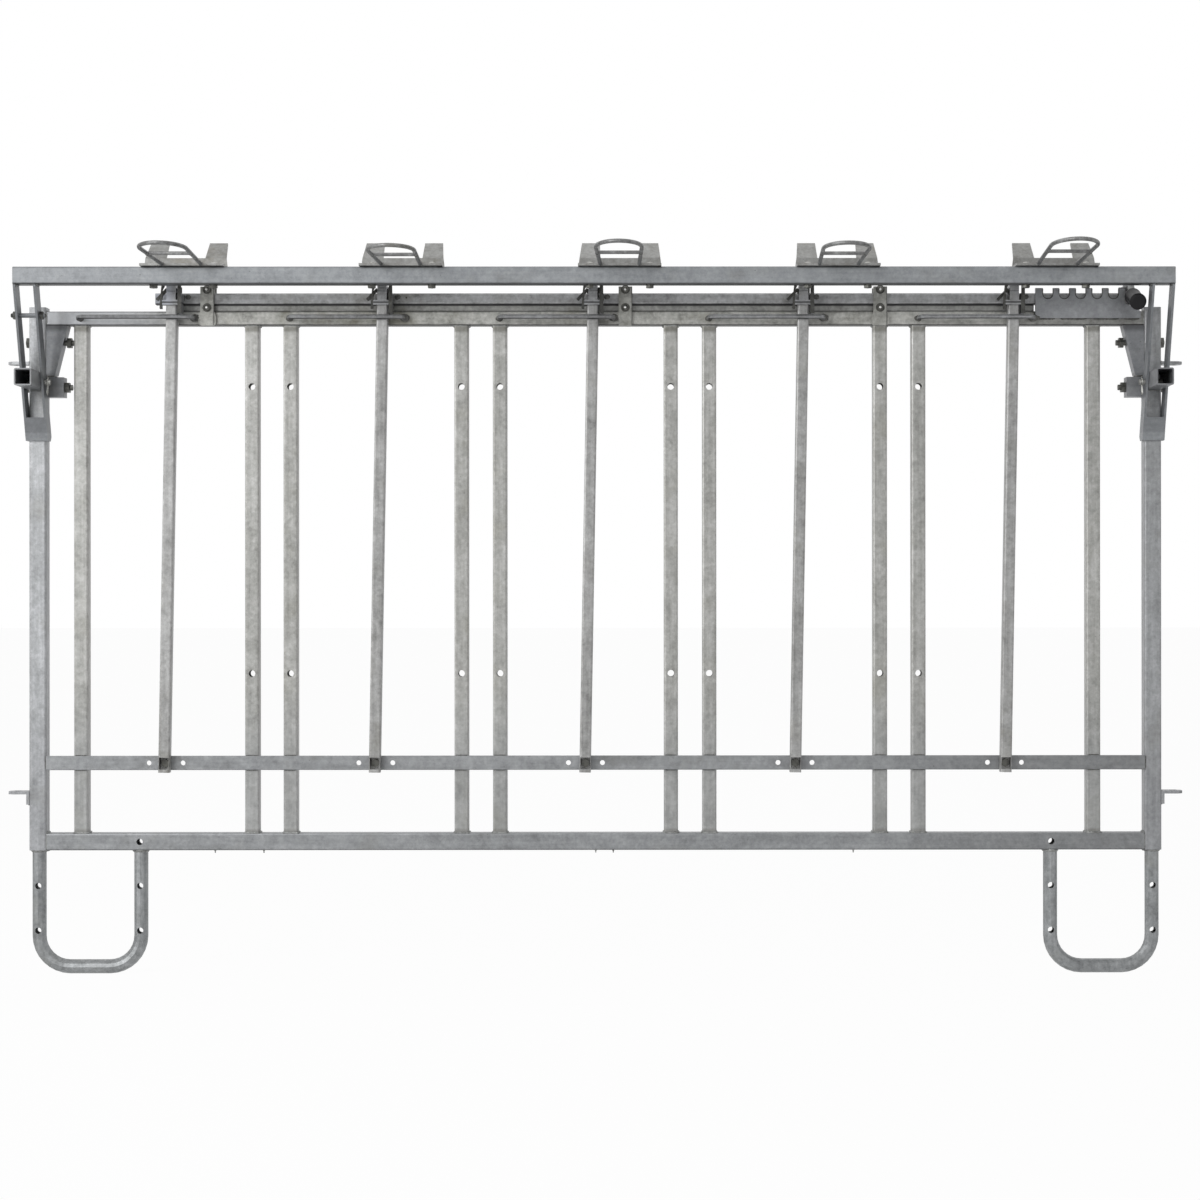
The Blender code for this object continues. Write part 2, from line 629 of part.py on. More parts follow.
def make_rails(shop):
    """The bottom rail, and the top rail with the runner strip on it."""
    length = 2 * (POST_INNER_X - TOUCH_GAP)
    start = -length / 2
    shell = tube_shell("bottom_rail", POST_SIDE, length, "X")
    place = (start, POST_MIDDLE_Y, RAIL_BOTTOM_Z + POST_SIDE / 2)
    rail = shop.add("bottom_rail", shell, GALVANISED, place)
    add_wall(rail, POST_WALL)
    for side in (-1, 1):
        centre = (side * (POST_X - LEG_SPREAD) - start, 0, 0)
        shop.cut(rail, cylinder("vent", VENT_HOLE_RADIUS, -POST_SIDE, POST_SIDE, "Y", centre))

    middle_z = TOP_RAIL_TOP_Z - TOP_RAIL_SIDE / 2
    shell = tube_shell("top_rail", TOP_RAIL_SIDE, length, "X")
    rail = shop.add("top_rail", shell, GALVANISED, (start, POST_MIDDLE_Y, middle_z))
    add_wall(rail, BAR_WALL)
    low = (RUNNER_LEFT_X - start, -RUNNER_DEPTH / 2, TOP_RAIL_SIDE / 2 - OVERLAP)
    high = (RUNNER_RIGHT_X - start, RUNNER_DEPTH / 2, TOP_RAIL_SIDE / 2 + RUNNER_HEIGHT)
    shop.join(rail, box("runner", low, high))
    for x in GUIDE_XS:
        centre = (x - start, 0, TOP_RAIL_SIDE / 2 + RUNNER_HEIGHT / 2)
        radius = GUIDE_BOLT_RADIUS + PIN_CLEARANCE
        shop.cut(rail, cylinder("bolt_hole", radius, -RUNNER_DEPTH, RUNNER_DEPTH, "Y", centre))


def make_cross_bar(shop):
    """The flat bar that the yokes are bolted to, with its pivot holes and the spare ones."""
    half_length = POST_INNER_X - TOUCH_GAP
    half_height = CROSS_BAR_HEIGHT / 2
    rim = [(-half_length, -half_height), (half_length, -half_height)]
    rim += [(half_length, half_height), (-half_length, half_height)]
    outlines = [rim]
    for index in range(PLACE_COUNT):
        outlines.append(ring((place_x(index), 0), PIVOT_BOLT_RADIUS + PIN_CLEARANCE))
        for offset in (-SPARE_HOLE_OFFSET, SPARE_HOLE_OFFSET):
            outlines.append(ring((place_x(index) + offset, 0), SPARE_HOLE_RADIUS))
    mesh = plate("cross_bar", outlines, CROSS_BAR_THICKNESS, "XZ", CROSS_BAR_FRONT_Y)
    shop.add("cross_bar", mesh, GALVANISED, (0, 0, CROSS_BAR_MIDDLE_Z))


def make_verticals(shop):
    """The ten fixed verticals. The outermost two have no holes."""
    bottom = RAIL_TOP_Z + TOUCH_GAP
    length = TOP_RAIL_BOTTOM_Z - TOUCH_GAP - bottom
    xs = vertical_xs()
    for number, x in enumerate(xs, 1):
        name = f"vertical_{number:02d}"
        shell = tube_shell(name, BAR_SIDE, length, "Z")
        bar = shop.add(name, shell, GALVANISED, (x, POST_MIDDLE_Y, bottom))
        add_wall(bar, BAR_WALL)
        if number in (1, len(xs)):
            continue
        for height in VERTICAL_HOLE_HEIGHTS:
            centre = (0, 0, height - bottom)
            shop.cut(bar, cylinder("hole", VERTICAL_HOLE_RADIUS, -BAR_SIDE, BAR_SIDE, "Y", centre))


def make_legs(shop):
    """The two U-bent legs, one limb under the post and one under the bottom rail."""
    top = RAIL_BOTTOM_Z - TOUCH_GAP
    bend = LEG_BEND_RADIUS
    for name, side in (("left_leg", -1), ("right_leg", 1)):
        outer = arc((bend, bend + LEG_RADIUS), bend, 180, 270, LEG_BEND_STEPS)
        inner = arc((LEG_SPREAD - bend, bend + LEG_RADIUS), bend, 270, 360, LEG_BEND_STEPS)
        run = [(0, top), *outer, *inner, (LEG_SPREAD, top)]
        points = [(-side * x, 0, z) for x, z in run]
        mesh = rod(name, points, LEG_RADIUS, LEG_SIDES_RESOLUTION, caps=False)
        leg = shop.add(name, mesh, GALVANISED, (side * POST_X, POST_MIDDLE_Y, 0))
        add_wall(leg, LEG_WALL)
        for x in (0, -side * LEG_SPREAD):
            for height in LEG_HOLE_HEIGHTS:
                hole = cylinder("hole", VENT_HOLE_RADIUS, -POST_SIDE, POST_SIDE, "Y", (x, 0, height))
                shop.cut(leg, hole)


def make_guide_rods(shop):
    """The bent rods that keep the yokes against the top rail."""
    foot_y = PLATE_BACK_Y
    bend = GUIDE_ROD_BEND
    left = arc((GUIDE_ROD_LEFT + bend, GUIDE_ROD_Y + bend), bend, 180, 270, BEND_STEPS)
    right = arc((GUIDE_ROD_RIGHT - bend, GUIDE_ROD_Y + bend), bend, 270, 360, BEND_STEPS)
    run = [(GUIDE_ROD_LEFT, foot_y), *left, *right, (GUIDE_ROD_RIGHT, foot_y)]
    for index in range(PLACE_COUNT):
        name = f"guide_rod_{index + 1}"
        mesh = rod(name, [(x, y, 0) for x, y in run], GUIDE_ROD_RADIUS)
        shop.add(name, mesh, GALVANISED, (place_x(index), 0, GUIDE_ROD_Z))


def make_yokes(shop):
    """The swinging yokes and the bolts that they turn on."""
    lean = (0, YOKE_LEAN, 0)
    for index in range(PLACE_COUNT):
        pivot = (place_x(index), YOKE_MIDDLE_Y, CROSS_BAR_MIDDLE_Z)
        name = f"yoke_{index + 1}"
        shell = tube_shell(name, YOKE_SIDE, YOKE_BOTTOM_REACH + YOKE_TOP_REACH, "Z")
        shell.transform(Matrix.Translation((0, 0, -YOKE_BOTTOM_REACH)))
        yoke = shop.add(name, shell, GALVANISED, pivot, rotation=lean)
        add_wall(yoke, YOKE_WALL)
        half = YOKE_SIDE / 2
        inside = half - YOKE_WALL
        window = YOKE_WINDOW_HEIGHT / 2
        shop.cut(
            yoke,
            box("window", (-inside, -YOKE_SIDE, -window), (inside, -half / 2, window)),
            cylinder("pivot_hole", PIVOT_BOLT_RADIUS + PIN_CLEARANCE, 0, YOKE_SIDE, "Y", (0, 0, 0)),
        )
        make_pivot_bolt(shop, index, pivot)


def make_pivot_bolt(shop, index, pivot):
    """A bolt with its head inside the yoke and its nut behind the cross bar."""
    head_end = YOKE_SIDE / 2 - YOKE_WALL - TOUCH_GAP
    head_start = head_end - PIVOT_HEAD_THICKNESS
    nut_start = CROSS_BAR_BACK_Y + TOUCH_GAP - YOKE_MIDDLE_Y
    nut_end = nut_start + PIVOT_NUT_THICKNESS
    name = f"pivot_bolt_{index + 1}"
    centre = (0, 0, 0)
    head = hexagon(name, PIVOT_HEAD_FLATS, head_start, head_end, "Y", centre)
    bolt = shop.add(name, head, ZINC, pivot)
    tip = nut_end + PIVOT_BOLT_RADIUS / 2
    shank = cylinder("shank", PIVOT_BOLT_RADIUS, head_end - OVERLAP, tip, "Y", centre)
    nut = hexagon("nut", PIVOT_HEAD_FLATS, nut_start, nut_end, "Y", centre)
    shop.join(bolt, shank, nut)


def make_slide_guides(shop):
    """The plates that hold the slide bar down on its runner: one in front, one behind, two bolts."""
    foot_z = TOP_RAIL_TOP_Z - TOP_RAIL_SIDE / 2 - GUIDE_PLATE
    half = GUIDE_WIDTH / 2
    front_y = PLATE_BACK_Y - GUIDE_PLATE
    back_y = SLIDE_BACK_Y + RUNNING_GAP
    bolt_heights = (
        TOP_RAIL_TOP_Z + RUNNER_HEIGHT / 2,
        SLIDE_TOP_Z + GUIDE_UPPER_BOLT_RISE,
    )
    for number, x in enumerate(GUIDE_XS, 1):
        rim = arc((0, foot_z), GUIDE_FOOT_RADIUS, 180, 360, NOTCH_STEPS)
        rim += [(half, foot_z + GUIDE_FOOT_RADIUS / 2), (half, GUIDE_TOP_Z)]
        rim += [(-half, GUIDE_TOP_Z), (-half, foot_z + GUIDE_FOOT_RADIUS / 2)]
        front = plate("front_plate", [rim], GUIDE_PLATE, "XZ", front_y)
        name = f"slide_guide_{number}"
        guide = shop.add(name, front, GALVANISED_PLATE, (x, 0, 0))
        low = (-half, back_y, TOP_RAIL_TOP_Z + TOUCH_GAP)
        shop.join(guide, box("back_plate", low, (half, back_y + GUIDE_BACK_PLATE, GUIDE_TOP_Z)))
        for height in bolt_heights:
            centre = (0, 0, height)
            start = front_y - GUIDE_HEAD_THICKNESS
            end = back_y + GUIDE_BACK_PLATE + GUIDE_HEAD_THICKNESS
            shop.join(
                guide,
                cylinder("shank", GUIDE_BOLT_RADIUS, front_y + OVERLAP, end, "Y", centre),
                cylinder(
                    "head",
                    GUIDE_HEAD_RADIUS - GUIDE_HEAD_THICKNESS / 2,
                    start,
                    front_y + OVERLAP * 2,
                    "Y",
                    centre,
                    top_radius=GUIDE_HEAD_RADIUS,
                ),
            )


def catch_meshes(x):
    """One catch on the slide bar: the hood strap, the band before the yoke, the stop and a pin."""
    half = HOOD_WIDTH / 2
    inner_top = HOOD_TOP_Z - STRAP_THICKNESS
    weld_z = SLIDE_TOP_Z - OVERLAP
    hood = [(STRAP_FRONT_Y, BAND_BOTTOM_Z), (STRAP_FRONT_Y, HOOD_TOP_Z), (HOOD_BACK_Y, HOOD_TOP_Z)]
    hood += [(HOOD_BACK_Y, weld_z), (HOOD_BACK_Y - STRAP_THICKNESS, weld_z)]
    hood += [(HOOD_BACK_Y - STRAP_THICKNESS, inner_top), (STRAP_BACK_Y, inner_top)]
    hood += [(STRAP_BACK_Y, BAND_BOTTOM_Z)]
    stop_x = x + YOKE_SIDE / 2 + STOP_PLAY
    weld_y = SLIDE_FRONT_Y + OVERLAP
    clear_y = PLATE_FRONT_Y - RUNNING_GAP
    shoulder_z = SLIDE_BOTTOM_Z + CORNER_RADIUS
    stop = [(STRAP_FRONT_Y, STOP_BOTTOM_Z), (clear_y, STOP_BOTTOM_Z), (clear_y, shoulder_z)]
    stop += [(weld_y, shoulder_z), (weld_y, SLIDE_TOP_Z - CORNER_RADIUS)]
    stop += [(STRAP_FRONT_Y, SLIDE_TOP_Z - CORNER_RADIUS)]
    band_low = (x - BAND_LEFT, STRAP_FRONT_Y, BAND_BOTTOM_Z)
    band_high = (stop_x + OVERLAP, STRAP_BACK_Y, BAND_BOTTOM_Z + BAND_HEIGHT)
    pin = (x + PAWL_PIN_OFFSET, 0, PAWL_PIN_Z)
    return [
        plate("hood", [hood], HOOD_WIDTH, "YZ", x - half),
        plate("stop", [stop], STRAP_THICKNESS, "YZ", stop_x),
        box("band", band_low, band_high),
        cylinder("pawl_pin", PAWL_PIN_RADIUS, STRAP_BACK_Y - OVERLAP, weld_y, "Y", pin),
    ]


def lever_ear_meshes():
    """The two ears on the back of the slide bar that hold the lever, and the pin across them."""
    radius = LEVER_PIN_RADIUS * 2.4
    pin = (LEVER_PIN_Y, LEVER_PIN_Z)
    weld_y = SLIDE_BACK_Y - OVERLAP
    rim = [(weld_y, LEVER_EAR_BOTTOM_Z), (LEVER_PIN_Y + radius, LEVER_PIN_Z)]
    rim = [rim[0], *arc(pin, radius, -30, 120, NOTCH_STEPS), (weld_y, SLIDE_TOP_Z - CORNER_RADIUS)]
    gap = LEVER_EYE_WIDTH / 2 + TOUCH_GAP
    left = LEVER_X - gap - LEVER_EAR
    right = LEVER_X + gap
    end = gap + LEVER_EAR
    centre = (LEVER_X, LEVER_PIN_Y, LEVER_PIN_Z)
    return [
        plate("ear", [rim], LEVER_EAR, "YZ", left),
        plate("ear", [rim], LEVER_EAR, "YZ", right),
        cylinder("lever_pin", LEVER_PIN_RADIUS, -end, end, "X", centre),
    ]


def make_slide_bar(shop):
    """The slide bar with its five catches and the ears of the lever."""
    shell = tube_shell("slide_bar", SLIDE_SIDE, SLIDE_RIGHT_X - SLIDE_LEFT_X, "X")
    middle = (SLIDE_LEFT_X, SLIDE_MIDDLE_Y, (SLIDE_BOTTOM_Z + SLIDE_TOP_Z) / 2)
    bar = shop.add("slide_bar", shell, GALVANISED, middle)
    add_wall(bar, SLIDE_WALL)
    to_bar = Matrix.Translation(-Vector(middle))
    meshes = lever_ear_meshes()
    for index in range(PLACE_COUNT):
        meshes += catch_meshes(yoke_top_x(index))
    for mesh in meshes:
        mesh.transform(to_bar)
        shop.join(bar, mesh)


def make_pawls(shop):
    """The gravity pawls, each held up just clear of the top of its yoke."""
    eye = arc((0, 0), PAWL_EYE_RADIUS, -90, 175, 2 * NOTCH_STEPS)
    rim = [*eye, (-PAWL_NOSE_OUT, -PAWL_ARM_TOP), (-PAWL_NOSE_OUT, -PAWL_NOSE_DROP)]
    rim += [(-PAWL_NOSE_IN, -PAWL_NOSE_DROP), (-PAWL_NOSE_IN, -PAWL_ARM_BOTTOM)]
    hole = ring((0, 0), PAWL_PIN_RADIUS + PIN_CLEARANCE)
    for index in range(PLACE_COUNT):
        name = f"pawl_{index + 1}"
        mesh = plate(name, [rim, hole], PAWL_THICKNESS, "XZ", -PAWL_THICKNESS / 2)
        pin = (yoke_top_x(index) + PAWL_PIN_OFFSET, YOKE_MIDDLE_Y, PAWL_PIN_Z)
        shop.add(name, mesh, GALVANISED_PLATE, pin, rotation=(0, PAWL_HELD_UP, 0))


def make_notch_plate(shop):
    """The notched plate on the top rail, with an open seat at its right end."""
    radius = NOTCH_RADIUS
    rim = [(PLATE_LEFT_X, PLATE_BOTTOM_Z), (PLATE_LEFT_X, PLATE_TOP_Z)]
    for number in range(NOTCH_COUNT):
        x = FIRST_NOTCH_X + number * NOTCH_PITCH
        rim.append((x - radius, PLATE_TOP_Z))
        rim += arc((x, NOTCH_BOTTOM_Z + radius), radius, 180, 360, NOTCH_STEPS)
        rim.append((x + radius, PLATE_TOP_Z))
    rim += [(LEVER_X - radius, PLATE_TOP_Z), (LEVER_X - radius, SEAT_FLOOR_Z)]
    rim += [(PLATE_RIGHT_X, PLATE_TIP_Z), (PLATE_RIGHT_X, PLATE_BOTTOM_Z)]
    mesh = plate("notch_plate", [rim], PLATE_THICKNESS, "XZ", PLATE_FRONT_Y)
    shop.add("notch_plate", mesh, GALVANISED_PLATE)


def make_lever(shop):
    """The cranked lever rod on its eye, and the round grip on its end."""
    pivot = Vector((LEVER_X, LEVER_PIN_Y, LEVER_PIN_Z))
    half = LEVER_EYE_WIDTH / 2
    eye = cylinder("lever_rod", LEVER_EYE_RADIUS, -half, half, "X", (0, 0, 0), sides=16)
    lever = shop.add("lever_rod", eye, GALVANISED, pivot)
    along = Vector((0, -math.cos(GRIP_SLOPE), -math.sin(GRIP_SLOPE)))
    grip_start = Vector((LEVER_X, GRIP_START_Y, GRIP_START_Z))
    rod_end = grip_start + along * (GRIP_BORE_DEPTH - TOUCH_GAP)
    rod_start = Vector((LEVER_X, LEVER_PIN_Y, LEVER_ROD_Z - LEVER_TOOTH_CLEARANCE))
    crest = Vector((LEVER_X, PLATE_FRONT_Y - LEVER_ROD_RADIUS, LEVER_ROD_Z))
    over = Vector((LEVER_X, SLIDE_MIDDLE_Y, LEVER_ROD_Z))
    path = [rod_start, over, crest, grip_start - along * LEVER_ROD_RADIUS / 2, rod_end]
    run = rod("lever_run", [point - pivot for point in path], LEVER_ROD_RADIUS, resolution=3)
    shop.join(lever, run)
    hole = LEVER_PIN_RADIUS + PIN_CLEARANCE
    shop.cut(lever, cylinder("eye_hole", hole, -2 * half, 2 * half, "X", (0, 0, 0)))

    bore = LEVER_ROD_RADIUS + PIN_CLEARANCE
    profile = [
        (0, GRIP_LENGTH),
        (GRIP_RADIUS - GRIP_ROUND, GRIP_LENGTH),
        (GRIP_RADIUS, GRIP_LENGTH - GRIP_ROUND),
        (GRIP_RADIUS, GRIP_ROUND),
        (GRIP_RADIUS - GRIP_ROUND, 0),
        (bore, 0),
        (bore, GRIP_BORE_DEPTH),
        (0, GRIP_BORE_DEPTH),
    ]
    grip = shop.add("grip", turned("grip", profile), BLACK_PLASTIC, grip_start)
    grip.rotation_euler = (math.pi / 2 + GRIP_SLOPE, 0, 0)
    screw = grip.modifiers.new("Turn", "SCREW")
    screw.steps = 20
    screw.render_steps = 20
    screw.use_merge_vertices = True
    screw.merge_threshold = WELD_DISTANCE


def turned(name, profile):
    """The profile of a turned piece, as edges in the XZ plane that a Screw modifier turns."""
    mesh = bpy.data.meshes.new(name)
    edges = [(number, number + 1) for number in range(len(profile) - 1)]
    mesh.from_pydata([(x, 0, z) for x, z in profile], edges, [])
    return mesh


def arm_y(height):
    """The front edge of an arm at a height."""
    return ARM_FOOT_Y - ARM_SLOPE * (height - ARM_BOTTOM_Z)


def arm_meshes(side):
    """One arm: two leaning flanges that straddle the post and the socket, and a web at the foot."""
    depth = TOP_BAR_SIDE
    top = TOP_BAR_BOTTOM_Z + OVERLAP
    flange = [(arm_y(ARM_BOTTOM_Z), ARM_BOTTOM_Z)]
    flange += [(arm_y(ARM_BOTTOM_Z) + depth - ARM_CHAMFER, ARM_BOTTOM_Z)]
    flange += [(arm_y(ARM_BOTTOM_Z + ARM_CHAMFER) + depth, ARM_BOTTOM_Z + ARM_CHAMFER)]
    flange += [(arm_y(top) + depth, top), (arm_y(top), top)]
    web_top = ARM_BOTTOM_Z + ARM_WEB_HEIGHT
    web = [(arm_y(ARM_BOTTOM_Z), ARM_BOTTOM_Z), (arm_y(ARM_BOTTOM_Z) + ARM_SHEET, ARM_BOTTOM_Z)]
    web += [(arm_y(web_top) + ARM_SHEET, web_top), (arm_y(web_top), web_top)]
    x = side * POST_X
    hole = ring((ARM_PIVOT_Y, ARM_PIVOT_Z), ARM_PIN_RADIUS + PIN_CLEARANCE)
    outer = ARM_HALF_GAP + ARM_SHEET
    return [
        plate("flange", [flange, hole], ARM_SHEET, "YZ", x - outer),
        plate("flange", [flange, hole], ARM_SHEET, "YZ", x + ARM_HALF_GAP),
        plate("web", [web], 2 * outer - ARM_SHEET, "YZ", x - outer + ARM_SHEET / 2),
    ]


def tie_bolt_meshes():
    """The bolt that ties the flanges of the left arm together, in front of the post."""
    middle_y = arm_y(TIE_BOLT_Z) + TOP_BAR_SIDE / 2
    centre = (-POST_X, middle_y, TIE_BOLT_Z)
    face = ARM_HALF_GAP + ARM_SHEET
    head = TIE_BOLT_FLATS / 2
    return [
        cylinder("tie_shank", TIE_BOLT_RADIUS, -face - OVERLAP, face + head + 0.003, "X", centre),
        hexagon("tie_head", TIE_BOLT_FLATS, -face - head + OVERLAP, -face + OVERLAP, "X", centre),
        hexagon("tie_nut", TIE_BOLT_FLATS, face - OVERLAP, face + head - OVERLAP, "X", centre),
    ]


def make_top_bar(shop):
    """The top bar with its two welded arms, on the empty at the arms' pivot."""
    shell = tube_shell("top_bar", TOP_BAR_SIDE, TOP_BAR_LENGTH, "X")
    place = Vector((-TOP_BAR_LENGTH / 2, TOP_BAR_MIDDLE_Y, TOP_BAR_BOTTOM_Z + TOP_BAR_SIDE / 2))
    pivot = Vector((0, ARM_PIVOT_Y, ARM_PIVOT_Z))
    bar = shop.add("top_bar", shell, GALVANISED, place - pivot, parent=shop.arm_pivot)
    add_wall(bar, POST_WALL)
    for mesh in arm_meshes(-1) + arm_meshes(1) + tie_bolt_meshes():
        mesh.transform(Matrix.Translation(-place))
        shop.join(bar, mesh)


def make_arm_pins(shop):
    """The headed pins that the arms turn on, through the flanges and the square sockets."""
    reach = ARM_HALF_GAP + ARM_SHEET
    for name, side in (("left_arm_pin", -1), ("right_arm_pin", 1)):
        inner = -side * (reach + ARM_PIN_RADIUS * 2)
        outer = side * (reach + TOUCH_GAP)
        start, end = sorted((inner, outer + side * OVERLAP))
        mesh = cylinder(name, ARM_PIN_RADIUS, start, end, "X", (0, 0, 0))
        pin = shop.add(name, mesh, ZINC, (side * POST_X, ARM_PIVOT_Y, ARM_PIVOT_Z))
        start, end = sorted((outer, outer + side * ARM_PIN_HEAD))
        shop.join(pin, cylinder("head", ARM_PIN_HEAD_RADIUS, start, end, "X", (0, 0, 0), sides=16))


def make_sockets(shop):
    """The square sockets that stick out in front of the posts."""
    for name, side in (("left_socket", -1), ("right_socket", 1)):
        length = SOCKET_REACH - TOUCH_GAP
        shell = tube_shell(name, SOCKET_SIDE, length, "Y")
        place = (side * POST_X, -SOCKET_REACH, SOCKET_MIDDLE_Z)
        socket = shop.add(name, shell, GALVANISED, place)
        add_wall(socket, SOCKET_WALL)
        centre = (0, ARM_PIVOT_Y + SOCKET_REACH, ARM_PIVOT_Z - SOCKET_MIDDLE_Z)
        radius = ARM_PIN_RADIUS + PIN_CLEARANCE
        shop.cut(socket, cylinder("pin_hole", radius, -SOCKET_SIDE, SOCKET_SIDE, "X", centre))


def gusset_reach(height):
    """How far the slanted edge of a corner bracket stands from the post at a height."""
    share = (height - GUSSET_FOOT_Z) / (TOP_RAIL_BOTTOM_Z - TOUCH_GAP - GUSSET_FOOT_Z)
    return GUSSET_FOOT_REACH + share * (GUSSET_TOP_REACH - GUSSET_FOOT_REACH)


def make_gussets(shop):
    """The folded corner brackets under the top rail, each with a clamp block at its foot."""
    top = TOP_RAIL_BOTTOM_Z - TOUCH_GAP
    foot = GUSSET_FOOT_Z
    start = TOUCH_GAP
    for name, side in (("left_bracket", -1), ("right_bracket", 1)):
        face = [(start, top), (GUSSET_TOP_REACH, top), (GUSSET_FOOT_REACH, foot), (start, foot)]
        edge = [(GUSSET_TOP_REACH - GUSSET_SHEET, top), (GUSSET_TOP_REACH, top)]
        edge += [(GUSSET_FOOT_REACH, foot), (GUSSET_FOOT_REACH - GUSSET_SHEET, foot)]
        neck = [(start, foot + OVERLAP), (GUSSET_FOOT_REACH, foot + OVERLAP)]
        neck += [(GUSSET_FOOT_REACH, BLOCK_TOP_Z - OVERLAP), (start, BLOCK_TOP_Z - OVERLAP)]
        mirror = [[(-side * x, z) for x, z in rim] for rim in (face, edge, neck)]
        mesh = plate(name, [mirror[0]], GUSSET_SHEET, "XZ", GUSSET_FRONT_Y)
        place = (side * POST_INNER_X, 0, 0)
        bracket = shop.add(name, mesh, GALVANISED_PLATE, place)
        near, far = sorted((-side * start, -side * BLOCK_LENGTH))
        block_front = GUSSET_FRONT_Y
        block_back = GUSSET_FRONT_Y + GUSSET_DEPTH
        shop.join(
            bracket,
            plate("edge", [mirror[1]], GUSSET_DEPTH, "XZ", GUSSET_FRONT_Y),
            plate("neck", [mirror[2]], GUSSET_SHEET, "XZ", GUSSET_FRONT_Y),
            box("block", (near, block_front, BLOCK_BOTTOM_Z), (far, block_back, BLOCK_TOP_Z)),
        )
        wall = BLOCK_WALL
        near, far = sorted((side * wall, -side * (BLOCK_LENGTH - wall)))
        low = (near, block_front + wall, BLOCK_BOTTOM_Z + wall)
        high = (far, block_back - wall, BLOCK_TOP_Z - wall)
        shop.cut(bracket, box("block_inside", low, high))
        for height in CLAMP_BOLT_HEIGHTS:
            centre = (0, POST_MIDDLE_Y, height)
            radius = CLAMP_BOLT_RADIUS + PIN_CLEARANCE
            shop.cut(bracket, cylinder("hole", radius, -POST_SIDE * 2, POST_SIDE * 2, "X", centre))


def make_clamp_bolts(shop):
    """The long bolts through the posts and the corner brackets."""
    reaches = (BLOCK_LENGTH, gusset_reach(CLAMP_BOLT_HEIGHTS[1]) + GUSSET_SHEET)
    for side_name, side in (("left", -1), ("right", 1)):
        for place_name, height, reach in zip(("lower", "upper"), CLAMP_BOLT_HEIGHTS, reaches):
            name = f"{side_name}_{place_name}_clamp_bolt"
            head_inner = side * (POST_SIDE / 2 + TOUCH_GAP)
            head_outer = head_inner + side * CLAMP_HEAD_THICKNESS
            nut_inner = -side * (POST_SIDE / 2 + reach + TOUCH_GAP)
            nut_outer = nut_inner - side * CLAMP_NUT_THICKNESS
            centre = (0, 0, 0)
            start, end = sorted((head_inner, head_outer))
            mesh = hexagon(name, CLAMP_HEAD_FLATS, start, end, "X", centre)
            bolt = shop.add(name, mesh, ZINC, (side * POST_X, POST_MIDDLE_Y, height))
            start, end = sorted((head_inner + side * OVERLAP, nut_outer - side * CLAMP_BOLT_RADIUS))
            shank = cylinder("shank", CLAMP_BOLT_RADIUS, start, end, "X", centre)
            start, end = sorted((nut_inner, nut_outer))
            shop.join(bolt, shank, hexagon("nut", CLAMP_HEAD_FLATS, start, end, "X", centre))


def hoop_z(y):
    """The height of the hoop's centre line, which climbs a little in front of its level feet."""
    return HOOP_FOOT_Z + HOOP_RISE * max(0.0, HOOP_FOOT_Y - HOOP_FOOT_LEVEL - y)


def hoop_half_width(y):
    """Half the width between the hoop's straight sides."""
    nose_y = HOOP_FRONT_Y + HOOP_NOSE_DEPTH
    share = (HOOP_FOOT_Y - y) / (HOOP_FOOT_Y - nose_y)
    return HOOP_FOOT_HALF_WIDTH + share * (HOOP_FRONT_HALF_WIDTH - HOOP_FOOT_HALF_WIDTH)


def hoop_path():
    """The centre line of a hoop: two straight sides joined by a rounded nose."""
    nose_y = HOOP_FRONT_Y + HOOP_NOSE_DEPTH
    level_y = HOOP_FOOT_Y - HOOP_FOOT_LEVEL
    path = [(-HOOP_FOOT_HALF_WIDTH, HOOP_FOOT_Y), (-HOOP_FOOT_HALF_WIDTH, level_y)]
    for step in range(HOOP_NOSE_STEPS + 1):
        angle = math.pi * step / HOOP_NOSE_STEPS
        across = -math.cos(angle) * HOOP_FRONT_HALF_WIDTH
        path.append((across, nose_y - math.sin(angle) * HOOP_NOSE_DEPTH))
    path += [(HOOP_FOOT_HALF_WIDTH, level_y), (HOOP_FOOT_HALF_WIDTH, HOOP_FOOT_Y)]
    return [(x, y, hoop_z(y)) for x, y in path]


def holder_meshes():
    """What is joined to a holder's base: strip, ears, hoop and the rod across the hoop."""
    half_strip = HOLDER_STRIP_WIDTH / 2
    strip_top = HOLDER_TOP_Z + HOLDER_STRIP_HEIGHT
    bottom = HOLDER_BOTTOM_Z
    half = HOLDER_WIDTH / 2
    strip = [(-half, bottom), (half, bottom), (half_strip, strip_top), (-half_strip, strip_top)]
    back = HOLDER_BACK_Y - HOLDER_SHEET
    meshes = [plate("strip", [strip], HOLDER_SHEET, "XZ", back)]
    bend = (0, HOLDER_BACK_Y - HOLDER_SHEET / 2, strip_top - HOLDER_SHEET / 4)
    lean = Matrix.Translation(bend) @ Matrix.Rotation(-EAR_LEAN, 4, "X")
    for side in (-1, 1):
        ear = [(half_strip, 0), (EAR_TOP_OUTER, EAR_LENGTH)]
        ear += [(EAR_TOP_OUTER - EAR_TOP_WIDTH, EAR_LENGTH), (half_strip - EAR_FOOT_WIDTH, 0)]
        rim = [(side * x, z) for x, z in ear]
        mesh = plate("ear", [rim], HOLDER_SHEET, "XZ", -HOLDER_SHEET / 2)
        mesh.transform(lean)
        meshes.append(mesh)
    meshes.append(rod("hoop", hoop_path(), HOOP_ROD_RADIUS))
    cross_y = TOP_BAR_FRONT_Y - HOOP_CROSS_REACH
    reach = hoop_half_width(cross_y)
    ends = [(side * reach, cross_y, hoop_z(cross_y)) for side in (-1, 1)]
    meshes.append(rod("cross_rod", ends, HOOP_ROD_RADIUS * 0.9))
    return meshes


